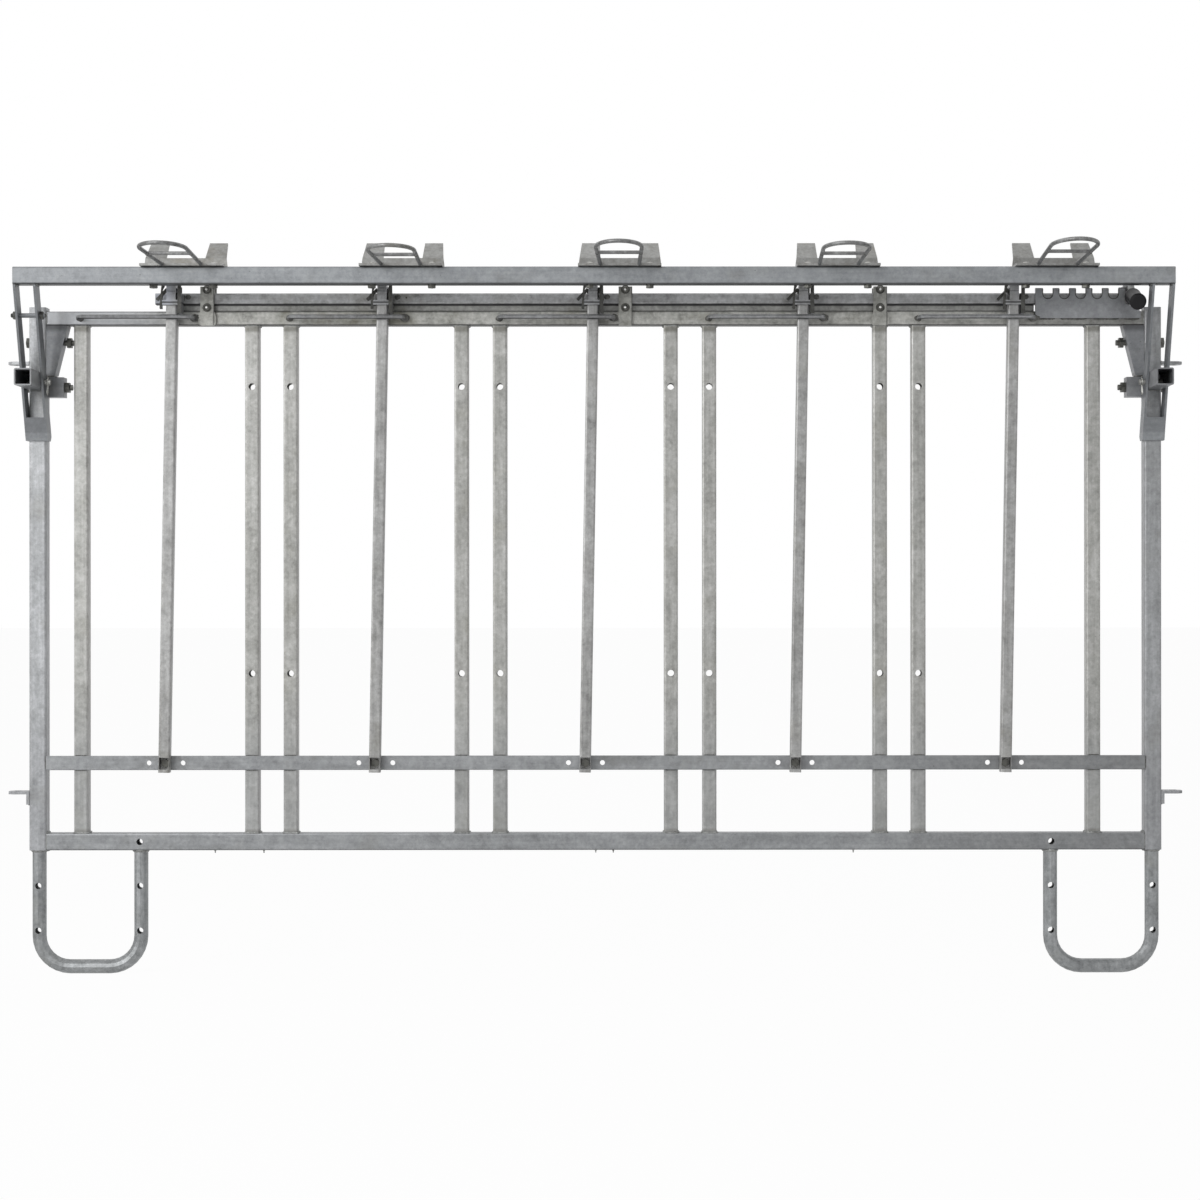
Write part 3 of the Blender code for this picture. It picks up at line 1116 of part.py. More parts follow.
def make_holders(shop):
    """The five holders on the top bar, riding on the pivot of the arms."""
    half = HOLDER_WIDTH / 2
    for index in range(PLACE_COUNT):
        x = FIRST_HOLDER_X + index * HOLDER_PITCH
        name = f"holder_{index + 1}"
        low = (-half, HOLDER_FRONT_Y, HOLDER_BOTTOM_Z)
        mesh = box(name, low, (half, HOLDER_BACK_Y, HOLDER_TOP_Z))
        place = (x, -ARM_PIVOT_Y, -ARM_PIVOT_Z)
        holder = shop.add(name, mesh, GALVANISED_PLATE, place, parent=shop.arm_pivot)
        shop.join(holder, *holder_meshes())


def main():
    clear_scene()
    shop = Workshop()
    make_posts(shop)
    make_rails(shop)
    make_cross_bar(shop)
    make_verticals(shop)
    make_legs(shop)
    make_guide_rods(shop)
    make_yokes(shop)
    make_slide_guides(shop)
    make_slide_bar(shop)
    make_pawls(shop)
    make_notch_plate(shop)
    make_lever(shop)
    make_top_bar(shop)
    make_arm_pins(shop)
    make_sockets(shop)
    make_gussets(shop)
    make_clamp_bolts(shop)
    make_holders(shop)


main()
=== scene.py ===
"""Looks of a galvanised calf headlock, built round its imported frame.

The panel's own frame measures depth from the front face of its posts. Every place below is
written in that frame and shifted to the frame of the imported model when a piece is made.
"""

from __future__ import annotations

import logging
import math
import random
from dataclasses import dataclass, field
from enum import Enum
from typing import Any, Iterable, Sequence, Union

import bmesh
import bpy
from mathutils import Matrix, Vector, noise

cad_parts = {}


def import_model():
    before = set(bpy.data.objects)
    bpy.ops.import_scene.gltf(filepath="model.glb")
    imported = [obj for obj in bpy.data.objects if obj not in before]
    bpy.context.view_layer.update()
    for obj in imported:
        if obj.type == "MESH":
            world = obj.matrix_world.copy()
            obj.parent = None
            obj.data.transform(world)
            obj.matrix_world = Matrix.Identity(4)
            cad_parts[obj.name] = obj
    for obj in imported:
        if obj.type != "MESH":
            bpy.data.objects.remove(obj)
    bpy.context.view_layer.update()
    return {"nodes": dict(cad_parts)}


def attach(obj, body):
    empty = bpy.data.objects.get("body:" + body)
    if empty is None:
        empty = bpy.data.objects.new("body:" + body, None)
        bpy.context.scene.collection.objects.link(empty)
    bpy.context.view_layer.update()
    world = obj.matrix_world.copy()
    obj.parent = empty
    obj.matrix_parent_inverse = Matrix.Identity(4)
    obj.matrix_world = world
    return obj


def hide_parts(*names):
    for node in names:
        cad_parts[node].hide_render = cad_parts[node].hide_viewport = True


log = logging.getLogger("calf_headlock")

Colour = tuple[float, float, float]
Point = tuple[float, float, float]
Pair = tuple[float, float]
Value = Union["Field", float]
Ring = list[bmesh.types.BMVert]

PANEL_SHIFT = 0.13925
# Painted shade: the dark of the lines laid along edges, creases and gaps between parts, and the
# default colour of a band.
PAINTED_SEAM_SHADE = (0.030, 0.030, 0.032)
# Dark colours for bands of painted shade; GREY_SHADE is also the darkest tone of the hoop rods.
BLUE_SHADE = (0.10, 0.105, 0.115)
GREY_SHADE = (0.10, 0.10, 0.10)
GUIDE_PLACES = (-0.685, 0.053, 0.503)
LEVER_X = 0.944
SHARP_CREASE = math.radians(38)
# Blender starts its vector noise from the clock unless it is given a seed.
WANDER_SEED = 7


class Body(Enum):
    """The moving bodies that the extra pieces ride on."""

    PANEL = "panel"
    SLIDE = "slide"
    TOP_BAR = "top_bar"
    LEVER = "lever"


class Slot(Enum):
    """The record's material slots."""

    STEEL = "galvanised_steel"
    PLATE = "galvanised_plate"
    FASTENER = "zinc_plated_fastener"
    PLASTIC = "black_plastic"


class Grain(Enum):
    """The way that the marks of drawing and dipping run over a piece."""

    ALONG = (7.0, 150.0, 150.0)
    UPRIGHT = (150.0, 150.0, 7.0)
    NONE = (60.0, 60.0, 60.0)


class Across(Enum):
    """The way that a band's place is measured."""

    WIDTH = "X"
    DEPTH = "Y"
    HEIGHT = "Z"


class Plane(Enum):
    """The plane that a round bead lies in, as the numbers of its two axes."""

    LEVEL = (0, 1)
    UPRIGHT = (0, 2)


class Axis(Enum):
    """The way that a turned or six-sided piece points."""

    RIGHT = Matrix.Rotation(math.pi / 2, 4, "Y")
    LEFT = Matrix.Rotation(-math.pi / 2, 4, "Y")
    BACK = Matrix.Rotation(-math.pi / 2, 4, "X")
    FRONT = Matrix.Rotation(math.pi / 2, 4, "X")
    UP = Matrix.Identity(4)
    DOWN = Matrix.Rotation(math.pi, 4, "X")


class Field:
    """A value or colour that varies over a surface, for writing shader maths as expressions."""

    def __init__(self, bench: NodeBench, socket: bpy.types.NodeSocket | None) -> None:
        """Wrap an output socket of a bench's tree."""
        self.bench = bench
        self.socket = socket

    def _maths(self, operation: str, first: Value, second: Value = 0.0) -> Field:
        """One Math node on two values."""
        return self.bench.node("ShaderNodeMath", {"operation": operation}, {0: first, 1: second})

    def __add__(self, other: Value) -> Field:
        """Sum."""
        return self._maths("ADD", self, other)

    __radd__ = __add__

    def __sub__(self, other: Value) -> Field:
        """Difference."""
        return self._maths("SUBTRACT", self, other)

    def __rsub__(self, other: Value) -> Field:
        """Difference, from a number."""
        return self._maths("SUBTRACT", other, self)

    def __mul__(self, other: Value) -> Field:
        """Product."""
        return self._maths("MULTIPLY", self, other)

    __rmul__ = __mul__

    def __abs__(self) -> Field:
        """Distance from 0."""
        return self._maths("ABSOLUTE", self)

    def above(self, other: Value) -> Field:
        """The larger of the two."""
        return self._maths("MAXIMUM", self, other)

    def step(self, low: float, high: float) -> Field:
        """A smooth rise from 0 at low to 1 at high, or a fall where high is the smaller."""
        sockets = {"Value": self, "From Min": low, "From Max": high}
        return self.bench.node("ShaderNodeMapRange", {"interpolation_type": "SMOOTHSTEP"}, sockets)

    def span(self, low: float, high: float) -> Field:
        """Spread a value of 0 to 1 between two others."""
        return self * (high - low) + low

    def swing(self, reach: float) -> Field:
        """Turn a value of 0 to 1 into a swing about 0, half its reach either way."""
        return (self - 0.5) * reach


class NodeBench:
    """The node tree of a material or a world, with the one way to add a node to it."""

    def __init__(self, owner: bpy.types.Material | bpy.types.World) -> None:
        """Empty the owner's tree.

        Args:
            owner: The material or world that has the tree.
        """
        owner.use_nodes = True
        self.tree = owner.node_tree
        self.tree.nodes.clear()

    def node(
        self,
        kind: str,
        settings: dict[str, Any] | None = None,
        sockets: dict[str | int, Any] | None = None,
        output: str | int = 0,
    ) -> Field:
        """Add a node.

        Args:
            kind: The node's type.
            settings: Its properties, set first. The key stops holds a ramp's places and colours.
            sockets: The values or links of its inputs.
            output: The output that is wanted.

        Returns:
            That output.
        """
        made = self.tree.nodes.new(kind)
        for key, value in (settings or {}).items():
            if key == "stops":
                self._set_stops(made.color_ramp, value)
            else:
                setattr(made, key, value)
        for key, value in (sockets or {}).items():
            if isinstance(value, Field):
                self.tree.links.new(value.socket, made.inputs[key])
            else:
                made.inputs[key].default_value = value
        return Field(self, made.outputs[output] if len(made.outputs) else None)

    @staticmethod
    def _set_stops(ramp: bpy.types.ColorRamp, stops: Sequence[tuple[float, Colour]]) -> None:
        """Give a ramp its stops.

        Args:
            ramp: The ramp.
            stops: The place and colour of each stop.
        """
        while len(ramp.elements) < len(stops):
            ramp.elements.new(1.0)
        for element, (place, colour) in zip(ramp.elements, stops):
            element.position = place
            element.color = (*colour, 1.0)

    def ramp(self, shade: Field, *stops: tuple[float, Colour]) -> Field:
        """Colours laid along a value."""
        return self.node("ShaderNodeValToRGB", {"stops": stops}, {"Fac": shade})

    @staticmethod
    def _paint(colour: Field | Colour) -> Field | tuple[float, ...]:
        """A field as it is, or a plain colour with its alpha."""
        return colour if isinstance(colour, Field) else (*colour, 1.0)

    def blend(self, share: Value, under: Field | Colour, over: Colour) -> Field:
        """Lay a share of a colour over another."""
        sockets = {0: share, 6: self._paint(under), 7: self._paint(over)}
        return self.node("ShaderNodeMix", {"data_type": "RGBA"}, sockets, 2)

    def place(self, offset: Point = (0.0, 0.0, 0.0), stretch: Point = (1.0, 1.0, 1.0)) -> Field:
        """The object's own coordinates, in metres, moved and stretched."""
        sockets = {"Vector": self.own(), "Scale": stretch, "Location": offset}
        return self.node("ShaderNodeMapping", {}, sockets)

    def own(self) -> Field:
        """The object's own coordinates."""
        return self.node("ShaderNodeTexCoord", output="Object")

    def grain(self, where: Field, scale: float, detail: float = 3.0, rough: float = 0.55) -> Field:
        """Plain noise from 0 to 1."""
        sockets = {"Vector": where, "Scale": scale, "Detail": detail, "Roughness": rough}
        return self.node("ShaderNodeTexNoise", {}, sockets)

    def cells(self, where: Field, scale: float, output: str = "Distance") -> Field:
        """Cells of zinc crystals: the distance to a cell's middle, or a colour for each."""
        return self.node("ShaderNodeTexVoronoi", {}, {"Vector": where, "Scale": scale}, output)

    def bump(self, height: Field, strength: float, depth: float) -> Field:
        """A normal that leans with a height, of so many metres."""
        sockets = {"Height": height, "Strength": strength, "Distance": depth}
        return self.node("ShaderNodeBump", {}, sockets)

    def surface(
        self, colour: Field | Colour, metal: float, rough: Value, normal: Field, shine: float = 0.5
    ) -> Field:
        """A solid surface.

        Args:
            colour: Its colour.
            metal: How much of a metal it is.
            rough: How rough it is.
            normal: Its bumped normal.
            shine: How strongly it mirrors where it isn't metal.

        Returns:
            The shader.
        """
        sockets = {
            "Base Color": self._paint(colour),
            "Metallic": metal,
            "Roughness": rough,
            "Specular IOR Level": shine,
            "Normal": normal,
        }
        return self.node("ShaderNodeBsdfPrincipled", {}, sockets)

    def looked_at(self) -> Field:
        """1 for what the camera sees, straight or in metal or glass, and 0 for what lights."""
        camera, glossy, through = (
            self.node("ShaderNodeLightPath", output=f"Is {ray} Ray")
            for ray in ("Camera", "Glossy", "Transmission")
        )
        return camera.above(glossy).above(through)


@dataclass(frozen=True)
class Band:
    """A stretch across a piece that is darker or brighter than the rest of it.

    It runs square to an axis of the frame, a half width either side of its middle, and fades
    over the soft share of that half. Many bands are painted shade along edges, creases and
    gaps, or painted light and shade across the ends of long pieces; others are stains at
    welds or plain changes of tone.
    """

    across: Across
    middle: float
    half: float
    share: float = 0.75
    colour: Colour = PAINTED_SEAM_SHADE
    soft: float = 0.65


@dataclass(frozen=True)
class ZincCoat:
    """Hot-dip galvanised steel: mottled grey, with crystals, runs and stains."""

    name: str
    tones: tuple[Colour, Colour, Colour]
    stain: Colour = (0.25, 0.24, 0.19)
    stain_share: float = 0.35
    mottle: float = 0.9
    streaks: float = 0.55
    run: Grain = Grain.UPRIGHT
    metal: float = 0.40
    bump: float = 0.35
    bands: tuple[Band, ...] = ()

    def banded(self, bench: NodeBench, colour: Field) -> Field:
        """Lay the coat's bands over its colour.

        Args:
            bench: The bench that the coat is made on.
            colour: The colour so far.

        Returns:
            The colour with the bands on it.
        """
        own = bench.own()
        wander = bench.grain(bench.place((4.0, 0.0, 1.0)), 60.0, 3.0).swing(0.0012)
        for band in self.bands:
            along = bench.node("ShaderNodeSeparateXYZ", {}, {0: own}, band.across.value)
            away = abs(along + wander - band.middle)
            mask = away.step(band.half, band.half * (1 - band.soft))
            colour = bench.blend(mask * band.share, colour, band.colour)
        return colour

    def shader(self, bench: NodeBench) -> Field:
        """Build the coat.

        Args:
            bench: The bench that it is made on.

        Returns:
            The shader.
        """
        dark, middle, light = self.tones
        place = bench.place()
        cloud = bench.grain(place, 4.5, 3.0)
        mottle = bench.grain(place, 38.0, 5.0, 0.62)
        speck = bench.grain(place, 150.0, 3.0, 0.7)
        fine = bench.grain(place, 620.0, 2.0, 0.5)
        streak = bench.grain(bench.place((3.1, 1.7, 0.4), self.run.value), 1.0, 4.0, 0.6)
        crystal = bench.node("ShaderNodeSeparateColor", {}, {0: bench.cells(place, 150.0, "Color")})
        shade = (
            0.5
            + cloud.swing(self.mottle * 0.4)
            + mottle.swing(self.mottle * 0.8)
            + speck.swing(self.mottle * 0.7)
            + streak.swing(self.streaks)
            + crystal.swing(0.10)
            + fine.swing(0.16)
        )
        colour = bench.ramp(shade, (0.18, dark), (0.5, middle), (0.86, light))
        stained = bench.grain(bench.place((7.7, 2.2, 5.1)), 9.0, 4.0, 0.7).step(0.52, 0.72)
        colour = bench.blend(stained * self.stain_share, colour, self.stain)
        pits = bench.cells(bench.place((0.3, 0.9, 0.1)), 75.0).step(0.10, 0.04)
        dots = pits * bench.grain(place, 14.0, 2.0).step(0.54, 0.66)
        colour = bench.blend(dots * 0.6, colour, (0.07, 0.07, 0.065))
        level = bench.grain(bench.place((9.0, 4.0, 2.0), (40.0, 40.0, 40.0)), 1.3, 1.0) - 0.5
        scratch = (level * level).step(0.00006, 0.0) * bench.grain(place, 18.0, 1.0).step(0.56, 0.68)
        colour = bench.blend(scratch * 0.35, colour, light)
        if self.bands:
            colour = self.banded(bench, colour)
        rough = (mottle * 0.22 + fine * 0.10 + crystal * 0.05 + dots * 0.2).span(0.32, 1.0)
        edge = bench.cells(place, 150.0)
        height = mottle * 0.9 + fine * 0.10 + edge * 0.25 + streak * 0.4 - dots * 0.5
        return bench.surface(colour, self.metal, rough, bench.bump(height, self.bump, 0.0009))


@dataclass(frozen=True)
class BeadZinc:
    """The duller, lumpier zinc that gathers on welds and in drips."""

    name: str
    dark: Colour = (0.15, 0.15, 0.145)
    light: Colour = (0.46, 0.47, 0.46)

    def shader(self, bench: NodeBench) -> Field:
        """Build the coat of a weld.

        Args:
            bench: The bench that it is made on.

        Returns:
            The shader.
        """
        place = bench.place()
        lump = bench.grain(place, 170.0, 4.0, 0.6)
        shade = lump * 0.6 + bench.grain(place, 26.0, 3.0) * 0.4
        colour = bench.ramp(shade, (0.34, self.dark), (0.66, self.light))
        return bench.surface(colour, 0.55, shade.span(0.42, 0.72), bench.bump(lump, 0.5, 0.0008))


@dataclass(frozen=True)
class Plating:
    """Thin zinc plate on bolts, nuts and pins, dulled and darkened in patches."""

    name: str
    dark: Colour = (0.07, 0.07, 0.065)
    light: Colour = (0.38, 0.38, 0.36)
    wear: float = 0.5

    def shader(self, bench: NodeBench) -> Field:
        """Build the plating.

        Args:
            bench: The bench that it is made on.

        Returns:
            The shader.
        """
        place = bench.place()
        patch = bench.grain(place, 95.0, 4.0, 0.65)
        fine = bench.grain(place, 900.0, 2.0)
        shade = patch * 0.75 + fine * 0.25
        colour = bench.ramp(shade, (0.30, self.dark), (0.42 + 0.14 * self.wear, self.light))
        normal = bench.bump(patch + fine * 0.3, 0.25, 0.0004)
        return bench.surface(colour, 0.8, shade.span(0.25, 0.55), normal)


@dataclass(frozen=True)
class BlackGrip:
    """Moulded black plastic, finely grained and a little scuffed."""

    name: str
    colour: Colour = (0.006, 0.006, 0.007)
    scuff: Colour = (0.04, 0.04, 0.04)

    def shader(self, bench: NodeBench) -> Field:
        """Build the plastic.

        Args:
            bench: The bench that it is made on.

        Returns:
            The shader.
        """
        place = bench.place()
        pebble = bench.grain(place, 1500.0, 2.0)
        worn = bench.grain(place, 70.0, 4.0, 0.7).step(0.55, 0.75)
        colour = bench.blend(worn * 0.5, self.colour, self.scuff)
        normal = bench.bump(pebble - worn * 0.4, 0.3, 0.0003)
        return bench.surface(colour, 0.0, worn.span(0.50, 0.72), normal, shine=0.25)


@dataclass(frozen=True)
class StudioPaper:
    """The pale paper of the floor, white to the camera but for soft shadows."""

    name: str = "studio_paper"
    colour: Colour = (0.99, 0.99, 0.99)
    glow: float = 0.97

    def shader(self, bench: NodeBench) -> Field:
        """Build the paper.

        Args:
            bench: The bench that it is made on.

        Returns:
            The shader.
        """
        fibre = bench.bump(bench.grain(bench.place(), 900.0, 2.0), 0.05, 0.0005)
        plain = bench.surface(self.colour, 0.0, 0.9, fibre)
        white = bench.node("ShaderNodeEmission", {}, {"Color": (1, 1, 1, 1), "Strength": 1.0})
        sockets = {0: bench.looked_at() * self.glow, 1: plain, 2: white}
        return bench.node("ShaderNodeMixShader", {}, sockets)


Finish = Union[ZincCoat, BeadZinc, Plating, BlackGrip, StudioPaper]


@dataclass
class PaintShop:
    """Makes each finish once and hands it out."""

    made: dict[str, bpy.types.Material] = field(default_factory=dict)

    def coat(self, finish: Finish) -> bpy.types.Material:
        """Look a finish's material up, or make it.

        Args:
            finish: The finish.

        Returns:
            Its material.
        """
        if finish.name not in self.made:
            material = bpy.data.materials.new(finish.name)
            bench = NodeBench(material)
            bench.node("ShaderNodeOutputMaterial", {}, {"Surface": finish.shader(bench)})
            self.made[finish.name] = material
        return self.made[finish.name]

    def dress(self, obj: bpy.types.Object, finish: Finish) -> None:
        """Give every slot of an object one finish."""
        for slot in obj.material_slots:
            slot.material = self.coat(finish)


UPRIGHT_TUBE = ZincCoat(
    "zinc_upright_tube",
    ((0.245, 0.245, 0.23), (0.43, 0.43, 0.412), (0.64, 0.64, 0.625)),
    stain=(0.30, 0.29, 0.235),
    bands=(
        Band(Across.HEIGHT, 1.1395, 0.0085, 0.55, (0.09, 0.085, 0.06), 0.8),
        Band(Across.HEIGHT, 0.25, 0.28, 0.30, (0.30, 0.315, 0.34)),
        Band(Across.HEIGHT, 0.2525, 0.0065, 0.35, (0.12, 0.11, 0.09), 0.8),
    ),
)
POST_TUBE = ZincCoat(
    "zinc_post_tube",
    ((0.25, 0.255, 0.26), (0.40, 0.41, 0.42), (0.60, 0.61, 0.63)),
    stain=(0.30, 0.29, 0.25),
    stain_share=0.25,
    bands=(
        # Painted shade: the right post a little darker, as the light falls off to the right.
        Band(Across.WIDTH, 0.985, 0.10, 0.16, GREY_SHADE, 0.1),
        Band(Across.HEIGHT, 0.25, 0.25, 0.18, (0.16, 0.16, 0.18)),
    ),
)
TOP_TUBE = ZincCoat(
    "zinc_top_tube",
    ((0.20, 0.21, 0.22), (0.305, 0.32, 0.335), (0.43, 0.445, 0.46)),
    stain=(0.23, 0.225, 0.20),
    stain_share=0.3,
    mottle=0.75,
    streaks=0.35,
    run=Grain.ALONG,
    bands=(
        # Painted shade: the arms below the bar darker and bluer.
        Band(Across.HEIGHT, 1.08, 0.1265, 0.38, BLUE_SHADE, 0.04),
        # Painted shade: the left end of the bar a little darker.
        Band(Across.WIDTH, -1.0, 0.40, 0.16, (0.10, 0.10, 0.105)),
        # Painted shade: dark lines along the bar's bottom edge and along its top edge under the
        # holders.
        Band(Across.HEIGHT, 1.2072, 0.0022),
        Band(Across.HEIGHT, 1.2369, 0.0010),
    ),
)
LOW_TUBE = ZincCoat(
    "zinc_low_tube",
    ((0.20, 0.205, 0.21), (0.32, 0.33, 0.34), (0.47, 0.48, 0.49)),
    stain=(0.22, 0.215, 0.19),
    stain_share=0.3,
    mottle=0.8,
    streaks=0.4,
    run=Grain.ALONG,
    bands=(
        # Painted shade: the right half darker, as the light falls off to the right.
        Band(Across.WIDTH, 0.95, 0.55, 0.30, GREY_SHADE),
        # Painted shade: dark lines along the bottom edges of the bottom rail and the cross bar.
        Band(Across.HEIGHT, 0.2192, 0.0022, 0.6),
        Band(Across.HEIGHT, 0.3608, 0.0016, 0.6),
    ),
)
RAIL_TUBE = ZincCoat(
    "zinc_rail_tube",
    ((0.23, 0.23, 0.21), (0.43, 0.43, 0.405), (0.64, 0.64, 0.61)),
    stain=(0.22, 0.21, 0.15),
    stain_share=0.55,
    mottle=1.2,
    run=Grain.ALONG,
    bands=(
        # Painted light: the left end lighter and bluer, where the light falls from the left.
        Band(Across.WIDTH, -0.985, 0.32, 0.65, (0.60, 0.62, 0.66)),
        # Painted shade: the right end darker.
        Band(Across.WIDTH, 0.900, 0.16, 0.45, GREY_SHADE),
        # Painted shade: the runner under the slide bar darker, with dark lines at its top and its
        # foot.
        Band(Across.HEIGHT, 1.1770, 0.0075, 0.25, (0.10, 0.105, 0.125)),
        Band(Across.HEIGHT, 1.1828, 0.0030, 0.9),
        Band(Across.HEIGHT, 1.1714, 0.0020, 0.7),
        # Painted shade: a dark line along the rail's bottom edge.
        Band(Across.HEIGHT, 1.1462, 0.0026, 0.85),
    ),
)
SLIDE_TUBE = ZincCoat(
    "zinc_slide_tube",
    ((0.22, 0.22, 0.22), (0.41, 0.415, 0.42), (0.60, 0.61, 0.62)),
    mottle=1.0,
    run=Grain.ALONG,
    bands=(
        # Painted shade: the catch parts standing in front of the bar darker and bluer.
        Band(Across.DEPTH, 0.12375, 0.0145, 0.42, (0.12, 0.13, 0.155), 0.2),
        Band(Across.WIDTH, -0.765, 0.030, 0.5, (0.55, 0.58, 0.66), 0.5),
        # Painted shade: dark lines along the bar's bottom and top edges.
        Band(Across.HEIGHT, 1.1832, 0.0024, 0.85),
        Band(Across.HEIGHT, 1.2029, 0.0008),
    ),
)
YOKE_TUBE = ZincCoat(
    "zinc_yoke_tube",
    ((0.22, 0.22, 0.215), (0.40, 0.40, 0.395), (0.60, 0.605, 0.60)),
    stain=(0.27, 0.26, 0.22),
)
LEG_TUBE = ZincCoat(
    "zinc_leg_tube",
    ((0.16, 0.165, 0.17), (0.27, 0.28, 0.285), (0.42, 0.43, 0.44)),
    stain_share=0.2,
    metal=0.7,
)
ROUND_ROD = ZincCoat(
    "zinc_round_rod",
    ((0.14, 0.14, 0.14), (0.26, 0.265, 0.27), (0.42, 0.43, 0.44)),
    stain_share=0.2,
    run=Grain.ALONG,
    metal=0.7,
    bands=(
        # Painted shade: dark lines along the under and upper sides of the guide rods.
        Band(Across.HEIGHT, 1.1546, 0.0015, 0.8),
        Band(Across.HEIGHT, 1.1619, 0.0008, 0.5),
    ),
)
HOOP_ROD = ZincCoat(
    "zinc_hoop_rod",
    (GREY_SHADE, (0.20, 0.20, 0.20), (0.40, 0.41, 0.41)),
    stain_share=0.2,
    run=Grain.ALONG,
    metal=0.7,
)
FLAT_PLATE = ZincCoat(
    "zinc_flat_plate",
    ((0.21, 0.215, 0.225), (0.32, 0.33, 0.345), (0.46, 0.47, 0.49)),
    stain_share=0.2,
    mottle=0.8,
    streaks=0.2,
    run=Grain.NONE,
    bands=(
        # Painted shade: the brackets under the top rail darker and bluer.
        Band(Across.HEIGHT, 1.09, 0.055, 0.30, BLUE_SHADE, 0.1),
        # Painted shadow: under the top rail, on the brackets.
        Band(Across.HEIGHT, 1.1455, 0.014, 0.7, soft=0.9),
        Band(Across.HEIGHT, 1.040, 0.024, 0.30, (0.08, 0.08, 0.08), 0.2),
        # Painted shade: a dark line along the notch plate's top edge.
        Band(Across.HEIGHT, 1.2108, 0.0010, 0.6),
    ),
)
# Painted shade: near-black zinc for the pawls, the sheets at the catches, the notch edges and the vent
# disc.
PAINTED_SHADE_PLATE = ZincCoat(
    "zinc_plate_painted_shade",
    ((0.025, 0.025, 0.024), (0.065, 0.065, 0.060), (0.16, 0.16, 0.15)),
    stain=(0.06, 0.055, 0.035),
    run=Grain.NONE,
)
GUIDE_PLATE = ZincCoat(
    "zinc_guide_plate",
    ((0.20, 0.20, 0.18), (0.36, 0.36, 0.335), (0.56, 0.56, 0.53)),
    stain=(0.20, 0.18, 0.12),
    stain_share=0.6,
    mottle=1.3,
    streaks=0.3,
    run=Grain.NONE,
    # Painted shade: a dark line down the right edge of each guide's plate.
    bands=tuple(Band(Across.WIDTH, x + 0.0117, 0.0016, 0.65) for x in GUIDE_PLACES),
)
HOLDER_PLATE = ZincCoat(
    "zinc_holder_plate",
    ((0.18, 0.175, 0.165), (0.30, 0.30, 0.29), (0.44, 0.445, 0.44)),
    stain=(0.20, 0.175, 0.13),
    stain_share=0.5,
    mottle=1.0,
    streaks=0.25,
    run=Grain.NONE,
)
WELD_ZINC = BeadZinc("zinc_weld_bead")
DARK_WELD = BeadZinc("zinc_weld_dark", (0.04, 0.04, 0.038), (0.22, 0.22, 0.205))
FASTENER = Plating("plated_fastener")
DARK_FASTENER = Plating("plated_fastener_dark", (0.03, 0.03, 0.028), (0.12, 0.12, 0.11), 0.8)
# Painted highlight: near-white plating for the small domes that stand for glints on bolt heads and
# ends.
HIGHLIGHT_FASTENER = Plating("plated_fastener_painted_highlight", light=(0.85, 0.85, 0.83), wear=0.1)
BLACK_PLASTIC = BlackGrip("moulded_black")


